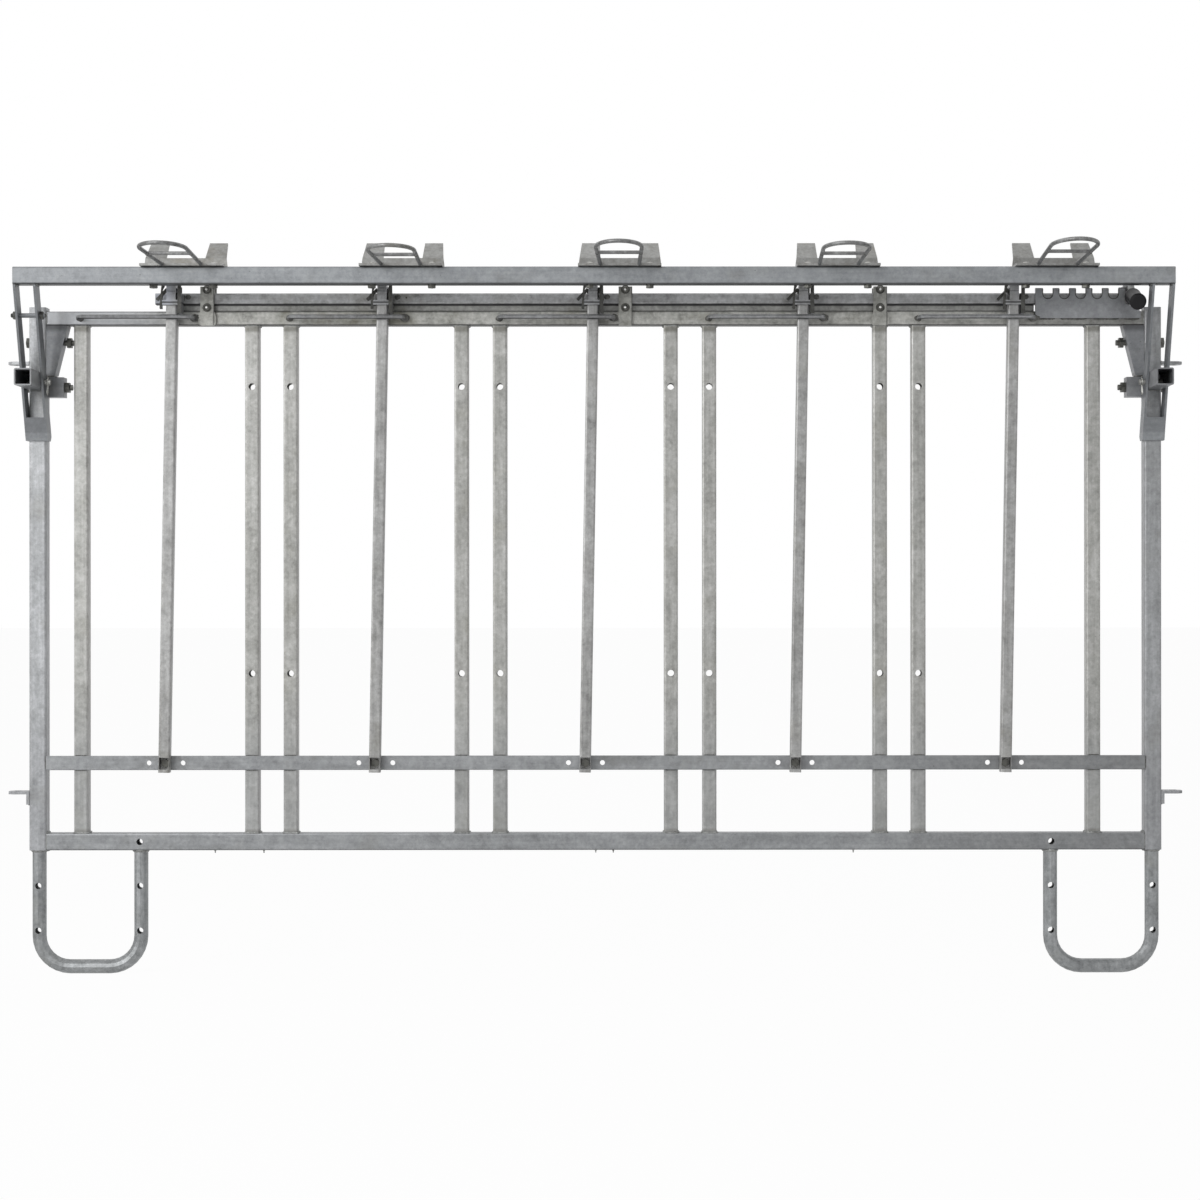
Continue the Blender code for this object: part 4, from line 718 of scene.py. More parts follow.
class Piece:
    """A mesh in the making, drawn in the panel's frame, which ends as one object on one body."""

    def __init__(self, name: str, body: Body, slot: Slot, finish: Finish) -> None:
        """Start an empty piece.

        Args:
            name: The object's name.
            body: The body that it rides on.
            slot: The record's slot for it. It is not used.
            finish: Its finish.
        """
        self.name = name
        self.body = body
        self.slot = slot
        self.finish = finish
        self.bm = bmesh.new()
        self.random = random.Random(name)

    def _ring(self, corners: Iterable[Vector]) -> Ring:
        """A ring of new corners."""
        return [self.bm.verts.new(corner) for corner in corners]

    def _skin(self, rings: Sequence[Ring], capped: bool = True) -> list[bmesh.types.BMFace]:
        """Join rings of corners, each to the next.

        Args:
            rings: The rings, each with its corners in the same order.
            capped: Whether the first and the last ring are closed.

        Returns:
            The new faces.
        """
        faces = []
        count = len(rings[0])
        for first, second in zip(rings, rings[1:]):
            for side in range(count):
                after = (side + 1) % count
                quad = (first[side], first[after], second[after], second[side])
                faces.append(self.bm.faces.new(quad))
        if capped:
            faces.append(self.bm.faces.new(rings[0][::-1]))
            faces.append(self.bm.faces.new(rings[-1]))
        return faces

    def _close_loop(self, last: Ring, first: Ring) -> None:
        """Join the last ring of a loop to the first, from the first's nearest corner.

        Args:
            last: The last ring.
            first: The first ring.
        """
        count = len(first)
        turn = min(range(count), key=lambda k: (first[k].co - last[0].co).length)
        for side in range(count):
            after = (side + 1) % count
            mates = first[(after + turn) % count], first[(side + turn) % count]
            self.bm.faces.new((last[side], last[after], *mates))

    def sweep(
        self, points: Sequence[Point], radii: Sequence[float], sides: int, closed: bool = False
    ) -> None:
        """A round bar along a run of points, with a radius at each.

        Args:
            points: The centre line.
            radii: The radius at each point.
            sides: How many sides the bar has.
            closed: Whether the run ends where it starts.
        """
        line = [Vector(point) for point in points]
        count = len(line)
        rings = []
        across = None
        for index, middle in enumerate(line):
            if closed:
                along = line[(index + 1) % count] - line[index - 1]
            else:
                along = line[min(index + 1, count - 1)] - line[max(index - 1, 0)]
            along.normalize()
            if across is None:
                seed = Vector((0, 0, 1)) if abs(along.z) < 0.8 else Vector((1, 0, 0))
                across = along.cross(seed).normalized()
            across = (across - along * across.dot(along)).normalized()
            up = along.cross(across)
            turns = [2 * math.pi * side / sides for side in range(sides)]
            spokes = [across * math.cos(turn) + up * math.sin(turn) for turn in turns]
            rings.append(self._ring(middle + spoke * radii[index] for spoke in spokes))
        if closed:
            self._close_loop(rings[-1], rings[0])
        self._skin(rings, capped=not closed)

    def rod(self, points: Sequence[Point], radius: float, sides: int) -> None:
        """A plain round bar."""
        self.sweep(points, [radius] * len(points), sides)

    def bead(self, path: Sequence[Point], radius: float, closed: bool = False) -> None:
        """A run of weld: overlapping ripples that wander a little and thin out at the ends.

        Args:
            path: The corner points of the run.
            radius: The bead's half thickness.
            closed: Whether the run goes all the way round.
        """
        line = [Vector(point) for point in path]
        if closed:
            line.append(line[0])
        spots = []
        for first, second in zip(line, line[1:]):
            steps = max(1, round((second - first).length / (radius * 0.9)))
            spots += [first.lerp(second, step / steps) for step in range(steps)]
        if not closed:
            spots.append(line[-1])
        start = self.random.random() * 50
        radii = []
        moved = []
        for index, spot in enumerate(spots):
            wander = noise.noise_vector(spot * 260 + Vector((start, 0, 0)))
            ripple = 0.86 + 0.16 * math.sin(index * 2.1 + start)
            swell = 1 + 0.22 * noise.noise(spot * 90 + Vector((0, start, 0)))
            taper = 1.0
            if not closed:
                taper = min(1.0, 0.45 + 0.3 * min(index, len(spots) - 1 - index))
            radii.append(radius * ripple * swell * taper)
            moved.append(spot + wander * radius * 0.22)
        if len(moved) > 1:
            self.sweep(moved, radii, 7, closed)

    def wide_bead(self, span: Pair, y: float, z: float, radius: float) -> None:
        """A straight bead from left to right."""
        self.bead([(x, y, z) for x in span], radius)

    def deep_bead(self, x: float, span: Pair, z: float, radius: float) -> None:
        """A straight bead from front to back."""
        self.bead([(x, y, z) for y in span], radius)

    def tall_bead(self, x: float, y: float, span: Pair, radius: float) -> None:
        """A straight bead from foot to top."""
        self.bead([(x, y, z) for z in span], radius)

    def sheet(self, path: Sequence[Pair], spans: Sequence[Pair], thickness: float) -> None:
        """A folded sheet with softened edges, drawn as a line of depths and heights.

        Args:
            path: The depth and height of the middle of the sheet at each step.
            spans: The left and right edge at each step.
            thickness: The sheet's thickness.
        """
        rings = []
        for index, ((y, z), (left, right)) in enumerate(zip(path, spans)):
            before, after = path[max(index - 1, 0)], path[min(index + 1, len(path) - 1)]
            along = Vector((0, after[0] - before[0], after[1] - before[1])).normalized()
            normal = Vector((0, -along.z, along.y)) * thickness / 2
            middle = Vector((0, y, z))
            corners = ((left, -1), (right, -1), (right, 1), (left, 1))
            rings.append(self._ring(middle + normal * s + Vector((x, 0, 0)) for x, s in corners))
        edges = {edge for face in self._skin(rings) for edge in face.edges}
        sharp = [edge for edge in edges if edge.calc_face_angle(0.0) > math.radians(60)]
        bmesh.ops.bevel(self.bm, geom=sharp, offset=thickness * 0.14, segments=2, affect="EDGES")

    def turned(
        self, profile: Sequence[Pair], centre: Point, axis: Axis, sides: int = 20
    ) -> None:
        """A turned piece.

        Args:
            profile: Radii and heights from the start to the end of the piece.
            centre: Where its start stands.
            axis: The way that it points.
            sides: How many sides it has.
        """
        place = Matrix.Translation(centre) @ axis.value
        turns = [2 * math.pi * side / sides for side in range(sides)]
        rings = []
        for radius, height in profile:
            spots = ((radius * math.cos(turn), radius * math.sin(turn), height) for turn in turns)
            rings.append(self._ring(place @ Vector(spot) for spot in spots))
        self._skin(rings)

    def dome(self, centre: Point, axis: Axis, radius: float, height: float) -> None:
        """A round-headed bolt's head, with the square-cut edge that it stands on.

        Args:
            centre: The middle of the face that it bears on.
            axis: The way that it points.
            radius: Its radius.
            height: Its height.
        """
        edge = 0.18
        profile = [(radius, 0.0), (radius, height * edge)]
        for step in range(1, 6):
            angle = math.pi / 2 * step / 6
            rise = edge + (1 - edge) * math.sin(angle)
            profile.append((radius * math.cos(angle), height * rise))
        self.turned(profile, centre, axis)

    def nut(self, centre: Point, axis: Axis, flats: float, height: float, shank: float) -> None:
        """A six-sided nut with rounded corners, and the end of its bolt standing through it.

        Args:
            centre: The middle of the face that it bears on.
            axis: The way that it points.
            flats: Its width across flats.
            height: Its thickness.
            shank: The bolt's radius.
        """
        outer = flats / math.sqrt(3)
        lift = Matrix.Translation((0, 0, height / 2))
        made = bmesh.ops.create_cone(
            self.bm,
            cap_ends=True,
            segments=6,
            radius1=outer,
            radius2=outer,
            depth=height,
            matrix=Matrix.Translation(centre) @ axis.value @ lift,
        )
        edges = {edge for vert in made["verts"] for edge in vert.link_edges}
        bmesh.ops.bevel(self.bm, geom=list(edges), offset=height * 0.12, segments=2, affect="EDGES")
        profile = [(shank, height * 0.5)]
        turns = 4
        for turn in range(turns):
            base = height + shank * 0.9 * turn / turns
            profile += [(shank, base), (shank * 0.86, base + shank * 0.11)]
        profile.append((shank * 0.8, height + shank))
        self.turned(profile, centre, axis, 12)

    def washer(self, centre: Point, axis: Axis, radius: float, thickness: float) -> None:
        """A washer with a rolled edge.

        Args:
            centre: The middle of the face that it bears on.
            axis: The way that it points.
            radius: Its radius.
            thickness: Its thickness.
        """
        step = thickness * 0.25
        profile = [(radius - step, 0), (radius, step), (radius, thickness - step)]
        self.turned([*profile, (radius - step, thickness)], centre, axis, 24)

    def lump(self, centre: Point, size: Point, seed: float) -> None:
        """A blob of weld or zinc, pushed out of round.

        Args:
            centre: Its middle.
            size: Its half widths.
            seed: What its dents depend on.
        """
        made = bmesh.ops.create_icosphere(self.bm, subdivisions=2, radius=1.0)
        for vert in made["verts"]:
            swell = 1 + 0.18 * noise.noise(vert.co * 2.2 + Vector((seed, seed * 0.7, 0)))
            vert.co = Vector(centre) + Vector(a * b for a, b in zip(vert.co, size)) * swell

    def slope(self, angle: float, about: Point) -> None:
        """Tip all that is drawn so far about a level line from left to right."""
        turn = Matrix.Rotation(angle, 3, "X")
        bmesh.ops.rotate(self.bm, cent=about, matrix=turn, verts=self.bm.verts)

    def done(self, shop: PaintShop, replaces: str | None = None) -> None:
        """Write the mesh, dress it and put it on its body.

        Args:
            shop: Where the finishes come from.
            replaces: The node of the frame that it stands for, if any.
        """
        bmesh.ops.translate(self.bm, verts=self.bm.verts, vec=(0, PANEL_SHIFT, 0))
        bmesh.ops.recalc_face_normals(self.bm, faces=self.bm.faces)
        mesh = bpy.data.meshes.new(self.name)
        self.bm.to_mesh(mesh)
        self.bm.free()
        mesh.shade_smooth()
        mesh.set_sharp_from_angle(angle=SHARP_CREASE)
        mesh.materials.append(shop.coat(self.finish))
        obj = bpy.data.objects.new(self.name, mesh)
        bpy.context.scene.collection.objects.link(obj)
        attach(obj, self.body.value)
        if replaces:
            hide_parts(replaces)
        log.info("%s: %d faces on %s", self.name, len(mesh.polygons), self.body.value)


def ring_of(centre: Point, radius: float, plane: Plane, count: int) -> list[Point]:
    """Points of a circle, without a repeat at the end.

    Args:
        centre: Its middle.
        radius: Its radius.
        plane: The plane that it lies in.
        count: How many points.

    Returns:
        The points.
    """
    first, second = plane.value
    points = []
    for index in range(count):
        angle = 2 * math.pi * index / count
        spot = list(centre)
        spot[first] += radius * math.cos(angle)
        spot[second] += radius * math.sin(angle)
        points.append(tuple(spot))
    return points


@dataclass
class PanelFrame:
    """The welded panel: posts, rails, verticals, cross bar, legs, lugs and guide rods."""

    shop: PaintShop
    proud: float = 0.0004
    lift: float = 0.0006
    cut: float = 0.002
    post_x: float = 0.985
    post_half: float = 0.015
    post_depth: float = 0.030
    middle_y: float = 0.015
    rail_bottom: float = 0.219
    rail_top: float = 0.249
    top_rail_bottom: float = 1.146
    top_rail_top: float = 1.171
    top_seam: Pair = (0.004, 0.026)
    top_faces: Pair = (0.0022, 0.0278)
    runner_sides: Pair = (0.0086, 0.0214)
    tack_count: int = 9
    tack_start: float = -0.71
    tack_pitch: float = 0.18
    tack_half: float = 0.010
    bar_half: float = 0.0125
    cross_bottom: float = 0.361
    cross_top: float = 0.386
    place_pitch: float = 0.370
    place_middle: float = -0.018
    place_half: float = 0.151
    last_shift: float = 0.007
    leg_radius: float = 0.0125
    leg_spread: float = 0.180
    leg_bend: Pair = (0.0085, 0.0322)
    rod_z: float = 1.158
    rod_ends: Pair = (-0.151, 0.050)
    lug_heights: Pair = (0.318, 1.077)
    plate_left: float = 0.777
    plate_bottom: float = 1.158
    plate_y: float = -0.0030
    plate_runs: tuple[Pair, ...] = (
        (0.779, 0.812), (0.822, 0.868), (0.880, 0.925), (0.934, 0.961),
    )
    notch_x: float = 0.799
    notch_pitch: float = 0.029
    notch_half: float = 0.009
    notch_z: float = 1.201
    notch_mouth: float = 1.2104
    socket_seams: Pair = (1.0614, 1.0306)
    block_top: float = 1.0560
    drip_places: tuple[Pair, ...] = (
        (-0.672, 0.0035), (-0.586, 0.003), (0.0, 0.0035), (0.031, 0.003), (0.455, 0.0025),
    )
    drip_shape: tuple[Pair, ...] = (
        (0.0021, -0.001), (0.0019, 0.001), (0.0009, 0.0028),
        (0.0013, 0.0040), (0.0010, 0.0049), (0.0003, 0.0053),
    )

    @property
    def post_inner(self) -> float:
        """How far out the posts' inner faces lie."""
        return self.post_x - self.post_half

    @property
    def places(self) -> list[float]:
        """The middles of the five neck places."""
        return [self.place_middle + (k - 2) * self.place_pitch for k in range(5)]

    @property
    def verticals(self) -> list[float]:
        """The middles of the ten verticals."""
        xs = [x + side * self.place_half for x in self.places for side in (-1, 1)]
        return [*xs[:-1], xs[-1] + self.last_shift]

    def piece(self, name: str, finish: Finish = WELD_ZINC, slot: Slot = Slot.STEEL) -> Piece:
        """A new piece that stays with the panel."""
        return Piece(name, Body.PANEL, slot, finish)

    def weld_verticals(self) -> None:
        """Beads round the feet of the verticals and at the sides of their tops."""
        feet, tops = self.piece("weld_vertical_feet"), self.piece("weld_vertical_tops")
        half, cut = self.bar_half + self.proud, self.cut
        front, back = self.middle_y - half, self.middle_y + half
        for x in self.verticals:
            left, right = x - half, x + half
            z = self.rail_top + self.lift
            loop = [(left, front + cut, z), (left + cut, front, z), (right - cut, front, z)]
            loop += [(right, front + cut, z), (right, back - cut, z), (right - cut, back, z)]
            loop += [(left + cut, back, z), (left, back - cut, z)]
            feet.bead(loop, radius=0.0021, closed=True)
            z = self.top_rail_bottom - self.proud
            for edge in (left, right):
                tops.deep_bead(edge, (front + cut, back - cut), z, radius=0.0024)
            for y in (front + self.lift, back - self.lift):
                tops.wide_bead((left + cut, right - cut), y, z, radius=0.0011)
        feet.done(self.shop)
        tops.done(self.shop)

    def weld_cross_bar(self) -> None:
        """Beads where the flat bar meets the verticals and the posts."""
        bar = self.piece("weld_cross_bar", DARK_WELD)
        reach = self.bar_half - self.cut
        for x in self.verticals:
            for z in (self.cross_bottom - 0.0003, self.cross_top + 0.0003):
                bar.wide_bead((x - reach, x + reach), 0.0016, z, radius=0.0013)
        span = (self.cross_bottom + 0.001, self.cross_top - 0.001)
        for side in (-1, 1):
            for y in (-0.0008, 0.0028):
                bar.tall_bead(side * self.post_inner, y, span, radius=0.0017)
        bar.done(self.shop)

    def weld_corners(self) -> None:
        """Beads where the two rails meet the posts."""
        corner = self.piece("weld_rail_ends")
        depth, lift, cut = self.post_depth, self.lift, self.cut
        for side in (-1, 1):
            edge = side * (self.post_inner - self.proud)
            for z in (self.rail_top + lift, self.rail_bottom - 0.0002):
                corner.deep_bead(edge, (cut, depth - cut), z, radius=0.0026)
            for y in (lift, depth - lift):
                corner.tall_bead(edge, y, (self.rail_bottom + cut, self.rail_top - cut), radius=0.0011)
            for z in (self.top_rail_top + self.proud, self.top_rail_bottom - self.proud):
                corner.deep_bead(edge, self.top_seam, z, radius=0.0022)
            for y in self.top_faces:
                span = (self.top_rail_bottom + cut, self.top_rail_top - cut)
                corner.tall_bead(edge, y, span, radius=0.0017)
        corner.done(self.shop)

    def weld_legs(self) -> None:
        """Two beads round the top of each leg's limbs, the lower one thin."""
        legs = self.piece("weld_leg_tops")
        for side in (-1, 1):
            for x in (side * self.post_x, side * (self.post_x - self.leg_spread)):
                for drop, proud, radius in ((0.0008, 0.0004, 0.0024), (0.0028, -0.0002, 0.0013)):
                    spot = (x, self.middle_y, self.rail_bottom - drop)
                    ring = ring_of(spot, self.leg_radius + proud, Plane.LEVEL, count=18)
                    legs.bead(ring, radius, closed=True)
        legs.done(self.shop)

    def weld_lugs(self) -> None:
        """Beads along the link lugs, the lower of which have a gusset under them."""
        lugs = self.piece("weld_link_lugs")
        low, high = self.lug_heights
        for side in (-1, 1):
            edge = side * (self.post_x + self.post_half + self.proud)
            for z in (low + 0.0052, high + 0.0052, high - 0.0002):
                lugs.deep_bead(edge, (self.cut, self.post_depth - self.cut), z, radius=0.0018)
            edge += side * 0.001
            lugs.deep_bead(edge, (0.003, 0.027), low - 0.0182, radius=0.0018)
            for y in (0.0008, 0.0292):
                lugs.tall_bead(edge, y, (low - 0.016, low - 0.001), radius=0.0013)
        lugs.done(self.shop)

    def weld_guide_rods(self) -> None:
        """A bead round both feet of each guide rod, with a larger lump over the right one."""
        rods = self.piece("weld_guide_rods", DARK_WELD)
        face = self.middle_y - self.bar_half
        for number, x in enumerate(self.places):
            lumps = (
                ((-0.0015, -0.0015, 0.0), (0.0062, 0.0024, 0.0052), number * 2.3 + 9),
                ((0.001, -0.0035, 0.0008), (0.0092, 0.0040, 0.0070), number * 1.7),
            )
            for end, (offset, size, seed) in zip(self.rod_ends, lumps):
                ring = ring_of((x + end, face - 0.0008, self.rod_z), 0.0046, Plane.UPRIGHT, count=10)
                rods.bead(ring, radius=0.0014, closed=True)
                foot = (x + end, face, self.rod_z)
                rods.lump([a + b for a, b in zip(foot, offset)], size, seed)
        rods.done(self.shop)

    def weld_runner(self) -> None:
        """Short tacks along the runner strip on the top rail, clear of the guides."""
        tacks = self.piece("weld_runner_tacks")
        for index in range(self.tack_count):
            x = self.tack_start + index * self.tack_pitch
            if min(abs(x - guide) for guide in GUIDE_PLACES) < 0.03:
                x += self.tack_pitch / 4
            for y in self.runner_sides:
                span = (x - self.tack_half, x + self.tack_half)
                tacks.wide_bead(span, y, self.top_rail_top + self.lift, radius=0.0014)
        tacks.done(self.shop)

    def weld_notch_plate(self) -> None:
        """The uneven runs under the notched plate and the lump at its lower left corner."""
        plate = self.piece("weld_notch_plate", DARK_WELD, Slot.PLATE)
        left, bottom = self.plate_left, self.plate_bottom
        steps = 5
        for start, end in self.plate_runs:
            xs = [start + (end - start) * step / steps for step in range(steps + 1)]
            run = [(x, 0.0010, bottom - 0.0006 + 0.0006 * math.sin(x * 190)) for x in xs]
            plate.bead(run, radius=0.0021)
        plate.lump((left + 0.0045, -0.0008, bottom + 0.0012), (0.0050, 0.0030, 0.0042), 3.3)
        plate.tall_bead(left - 0.0002, 0.0012, (bottom + 0.002, bottom + 0.012), radius=0.0015)
        plate.done(self.shop)

    def paint_notch_shade(self) -> None:
        """A thin dark bead round each notch: painted shade along its edge."""
        notch_shade = self.piece("notch_burrs", PAINTED_SHADE_PLATE, Slot.PLATE)
        half, y, steps = self.notch_half, self.plate_y, 12
        for number in range(5):
            x = self.notch_x + number * self.notch_pitch
            turns = [math.pi * step / steps for step in range(steps + 1)]
            run = [(x - math.cos(a) * half, y, self.notch_z - math.sin(a) * half) for a in turns]
            mouth = [(x + side * half, y, self.notch_mouth) for side in (-1, 1)]
            notch_shade.bead([mouth[0], *run, mouth[1]], radius=0.0009)
        notch_shade.done(self.shop)

    def weld_sockets(self) -> None:
        """Beads above and below the square sockets where they meet the posts."""
        sockets = self.piece("weld_sockets")
        for side in (-1, 1):
            x = side * self.post_x
            for z in self.socket_seams:
                sockets.wide_bead((x - 0.012, x + 0.012), -0.0010, z, radius=0.0019)
        sockets.done(self.shop)

    def weld_brackets(self) -> None:
        """Beads where each corner bracket meets its clamp block."""
        brackets = self.piece("weld_brackets", DARK_WELD, Slot.PLATE)
        for side in (-1, 1):
            start, end, corner = (side * (self.post_inner - gap) for gap in (0.003, 0.015, 0.0165))
            brackets.wide_bead((start, end), 0.0008, self.block_top, radius=0.0015)
            brackets.deep_bead(corner, (self.cut, 0.025), self.block_top - 0.001, radius=0.0016)
        brackets.done(self.shop)

    def zinc_drips(self) -> None:
        """The drips that the zinc bath left under the bottom rail and on the legs' bends."""
        drips = self.piece("zinc_drips")
        for x, y in self.drip_places:
            spot = (x, y, self.rail_bottom + self.proud)
            drips.turned(self.drip_shape, spot, Axis.DOWN, sides=8)
        inward, z = self.leg_bend
        for side in (-1, 1):
            for reach in (inward, self.leg_spread - inward):
                x = side * (self.post_x - reach)
                drips.lump((x, self.middle_y - 0.002, z), (0.0036, 0.0040, 0.0030), x * 7)
        drips.done(self.shop)

    def build(self) -> None:
        """Make every weld and drip of the panel, and the painted shade round its notches."""
        self.weld_verticals()
        self.weld_cross_bar()
        self.weld_corners()
        self.weld_legs()
        self.weld_lugs()
        self.weld_guide_rods()
        self.weld_runner()
        self.weld_notch_plate()
        self.paint_notch_shade()
        self.weld_sockets()
        self.weld_brackets()
        self.zinc_drips()


@dataclass
class SlideBar:
    """The slide bar with its catches and the lever's ears."""

    shop: PaintShop
    catch_left: float = -0.743829
    catch_pitch: float = 0.370
    top_z: float = 1.203
    front_y: float = 0.0028
    back_y: float = 0.0228
    strap_back: float = 0.016
    strap_half: float = 0.008
    stop_right: float = 0.0175
    band_left: float = 0.0155
    # Where the dark sheets of painted shade at each catch lie.
    lug_y: float = -0.0264
    lug_edges: tuple[tuple[float, float, float], ...] = (
        (1.1715, -0.0040, 0.0005),
        (1.1735, -0.0046, 0.0003),
        (1.2045, -0.0022, 0.0006),
        (1.2135, -0.0012, 0.0052),
    )
    web_y: float = 0.0062
    stop_y: float = -0.0293
    vent: Pair = (-0.334, 1.1950)

    @property
    def catches(self) -> list[float]:
        """The middles of the five catches."""
        return [self.catch_left + k * self.catch_pitch for k in range(5)]

    def piece(self, name: str, finish: Finish) -> Piece:
        """A new piece that slides with the bar."""
        return Piece(name, Body.SLIDE, Slot.STEEL, finish)

    def paint_catch_shade(self) -> None:
        """Painted shade at each catch: dark sheets for its lug, the web behind it and its stop."""
        lugs = self.piece("catch_lugs", PAINTED_SHADE_PLATE)
        for x in self.catches:
            left, stop = x - self.band_left, x + self.stop_right
            line = [(self.lug_y, z) for z, _, _ in self.lug_edges]
            lugs.sheet(line, [(left + a, left + b) for _, a, b in self.lug_edges], thickness=0.0042)
            spans = [(x + self.strap_half - 0.0006, stop - 0.0045)] * 2
            lugs.sheet([(self.web_y, 1.2030), (self.web_y, 1.2136)], spans, thickness=0.0020)
            spans = [(stop - 0.0064, stop + 0.0012), (stop - 0.0056, stop + 0.0006)]
            lugs.sheet([(self.stop_y, 1.1638), (self.stop_y, 1.2138)], spans, thickness=0.0012)
        lugs.done(self.shop)

    def weld_catches(self) -> None:
        """Beads where each catch's strap and stop stand on the bar."""
        welds = self.piece("weld_catches", DARK_WELD)
        z, front = self.top_z + 0.0008, self.front_y
        for x in self.catches:
            span = (x - self.strap_half + 0.001, x + self.strap_half - 0.001)
            for y in (self.strap_back + 0.0004, self.strap_back - 0.0054):
                welds.wide_bead(span, y, z, radius=0.0015)
            blob = (x + 0.0245, front - 0.0003, 1.1962)
            welds.lump(blob, (0.0056, 0.0016, 0.0048), x * 9)
            edge = x + self.stop_right + 0.0002
            welds.tall_bead(edge, front - 0.0008, (1.1885, 1.1995), radius=0.0014)
        welds.done(self.shop)

    def paint_vent_shade(self) -> None:
        """A dark disc of painted shade for the small vent hole between the first and second guide."""
        hole = self.piece("slide_bar_vent", PAINTED_SHADE_PLATE)
        x, z = self.vent
        hole.dome((x, self.front_y + 0.0002, z), Axis.FRONT, radius=0.0019, height=0.0003)
        hole.done(self.shop)

    def weld_ears(self) -> None:
        """Beads at the feet of the lever's two ears."""
        welds = self.piece("weld_lever_ears", DARK_WELD)
        for side in (-1, 1):
            x = LEVER_X + side * 0.0128
            welds.tall_bead(x, self.back_y + 0.0004, (1.191, 1.199), radius=0.0013)
        welds.done(self.shop)

    def build(self) -> None:
        """Make the slide bar's painted shade at the catches and the vent, and its welds."""
        self.paint_catch_shade()
        self.weld_catches()
        self.paint_vent_shade()
        self.weld_ears()


@dataclass
class TopBar:
    """The tilting top bar: the welds of its arms, and its five holders with their fixings."""

    shop: PaintShop
    arm_x: float = 0.985
    flange_in: float = 0.0155
    flange_out: float = 0.0195
    front_y: float = -0.095
    back_y: float = -0.065
    bottom_z: float = 1.207
    seam_gap: float = 0.0006
    seam_cut: float = 0.003
    tie_y: float = -0.0626
    tie_z: float = 1.156
    holder_middle: float = 0.044
    holder_pitch: float = 0.378
    sheet: float = 0.004
    plate_z: float = 1.2413
    plate_half: float = 0.072
    plate_depth: float = 0.050
    edge_y: float = -0.055
    bend: float = 0.0045
    strip_half: float = 0.0705
    strip_top: float = 1.2553
    strip_welds: tuple[Pair, ...] = ((-0.066, -0.052), (0.052, 0.066))
    ear_foot: float = 0.034
    ear_top: Pair = (0.0355, 0.067)
    ear_length: float = 0.048
    ear_lean: float = math.radians(50)
    ear_bend: float = 0.004
    hoop_radius: float = 0.0035
    hoop_foot: Point = (0.0335, -0.0965, 1.2405)
    hoop_level: float = 0.003
    hoop_rises: tuple[float, ...] = (0.0225, 0.003, 0.035, 0.0205, 0.05)
    nose_half: float = 0.0383
    nose_y: float = -0.262
    nose_depth: float = 0.057
    foot_y: float = -0.0995
    cross_half: float = 0.0366
    cross_y: float = -0.212
    bolt_offset: float = 0.052
    bolt_y: float = -0.080

    def piece(self, name: str, finish: Finish, slot: Slot) -> Piece:
        """A new piece that tilts with the bar."""
        return Piece(name, Body.TOP_BAR, slot, finish)

    def holder_x(self, number: int) -> float:
        """Where the middle of a holder lies, counted from the left."""
        return self.holder_middle + (number - 3) * self.holder_pitch

    def weld_arms(self) -> None:
        """Beads where the arms' flanges meet the bar, the outermost one thin."""
        welds = self.piece("weld_arms", WELD_ZINC, Slot.STEEL)
        gap, z = self.seam_gap, self.bottom_z - self.seam_gap
        span = (self.front_y + self.seam_cut, self.back_y - self.seam_cut)
        for side in (-1, 1):
            for reach in (-self.flange_out - gap, gap - self.flange_in, self.flange_in + gap):
                welds.deep_bead(side * (self.arm_x + reach), span, z, radius=0.0019)
            welds.deep_bead(side * (self.arm_x + self.flange_out - 2 * gap), span, z, radius=0.0012)
        welds.done(self.shop)

    def cap_tie_bolt(self) -> None:
        """The dark head and nut of the bolt that ties the left arm's flanges."""
        caps = self.piece("tie_bolt_ends", DARK_FASTENER, Slot.FASTENER)
        reach = self.flange_out + 0.0002
        for side, axis in ((-1, Axis.LEFT), (1, Axis.RIGHT)):
            spot = (side * reach - self.arm_x, self.tie_y, self.tie_z)
            caps.nut(spot, axis, flats=0.0136, height=0.0066, shank=0.0040)
        caps.done(self.shop)

    def fold_plate(self, holder: Piece, x: float) -> None:
        """The sheet of one holder, turned up into a strip along its back edge.

        Args:
            holder: The piece that it is drawn in.
            x: The holder's middle.
        """
        low, back, bend = self.plate_z - self.sheet / 2, self.edge_y - self.sheet / 2, self.bend
        path = [(self.edge_y - self.plate_depth, low)]
        steps = 6
        for step in range(steps + 1):
            angle = math.pi / 2 * step / steps
            across, rise = bend * (math.sin(angle) - 1), bend * (1 - math.cos(angle))
            path.append((back + across, low + rise))
        path.append((back, self.strip_top + 0.001))
        halves = [self.plate_half] * (len(path) - 1) + [self.strip_half]
        holder.sheet(path, [(x - half, x + half) for half in halves], self.sheet)

    def raise_ears(self, holder: Piece, x: float) -> None:
        """The two ears of one holder, which lean back from the top of its strip.

        Args:
            holder: The piece that they are drawn in.
            x: The holder's middle.
        """
        back, top, bend = self.edge_y - self.sheet / 2, self.strip_top, self.ear_bend
        foot = top - bend * math.tan(self.ear_lean / 2)
        path = [(back, top - 0.006)]
        steps = 5
        for step in range(steps + 1):
            angle = self.ear_lean * step / steps
            path.append((back + bend * (1 - math.cos(angle)), foot + bend * math.sin(angle)))
        tip = top + self.ear_length * math.cos(self.ear_lean)
        path.append((back + self.ear_length * math.sin(self.ear_lean), tip))
        for side in (-1, 1):
            spans = []
            for _, z in path:
                share = max(0.0, (z - top) / (tip - top))
                inner = self.ear_foot + share * (self.ear_top[0] - self.ear_foot)
                outer = self.strip_half + share * (self.ear_top[1] - self.strip_half)
                spans.append(tuple(sorted((x + side * inner, x + side * outer))))
            holder.sheet(path, spans, self.sheet * 0.98)

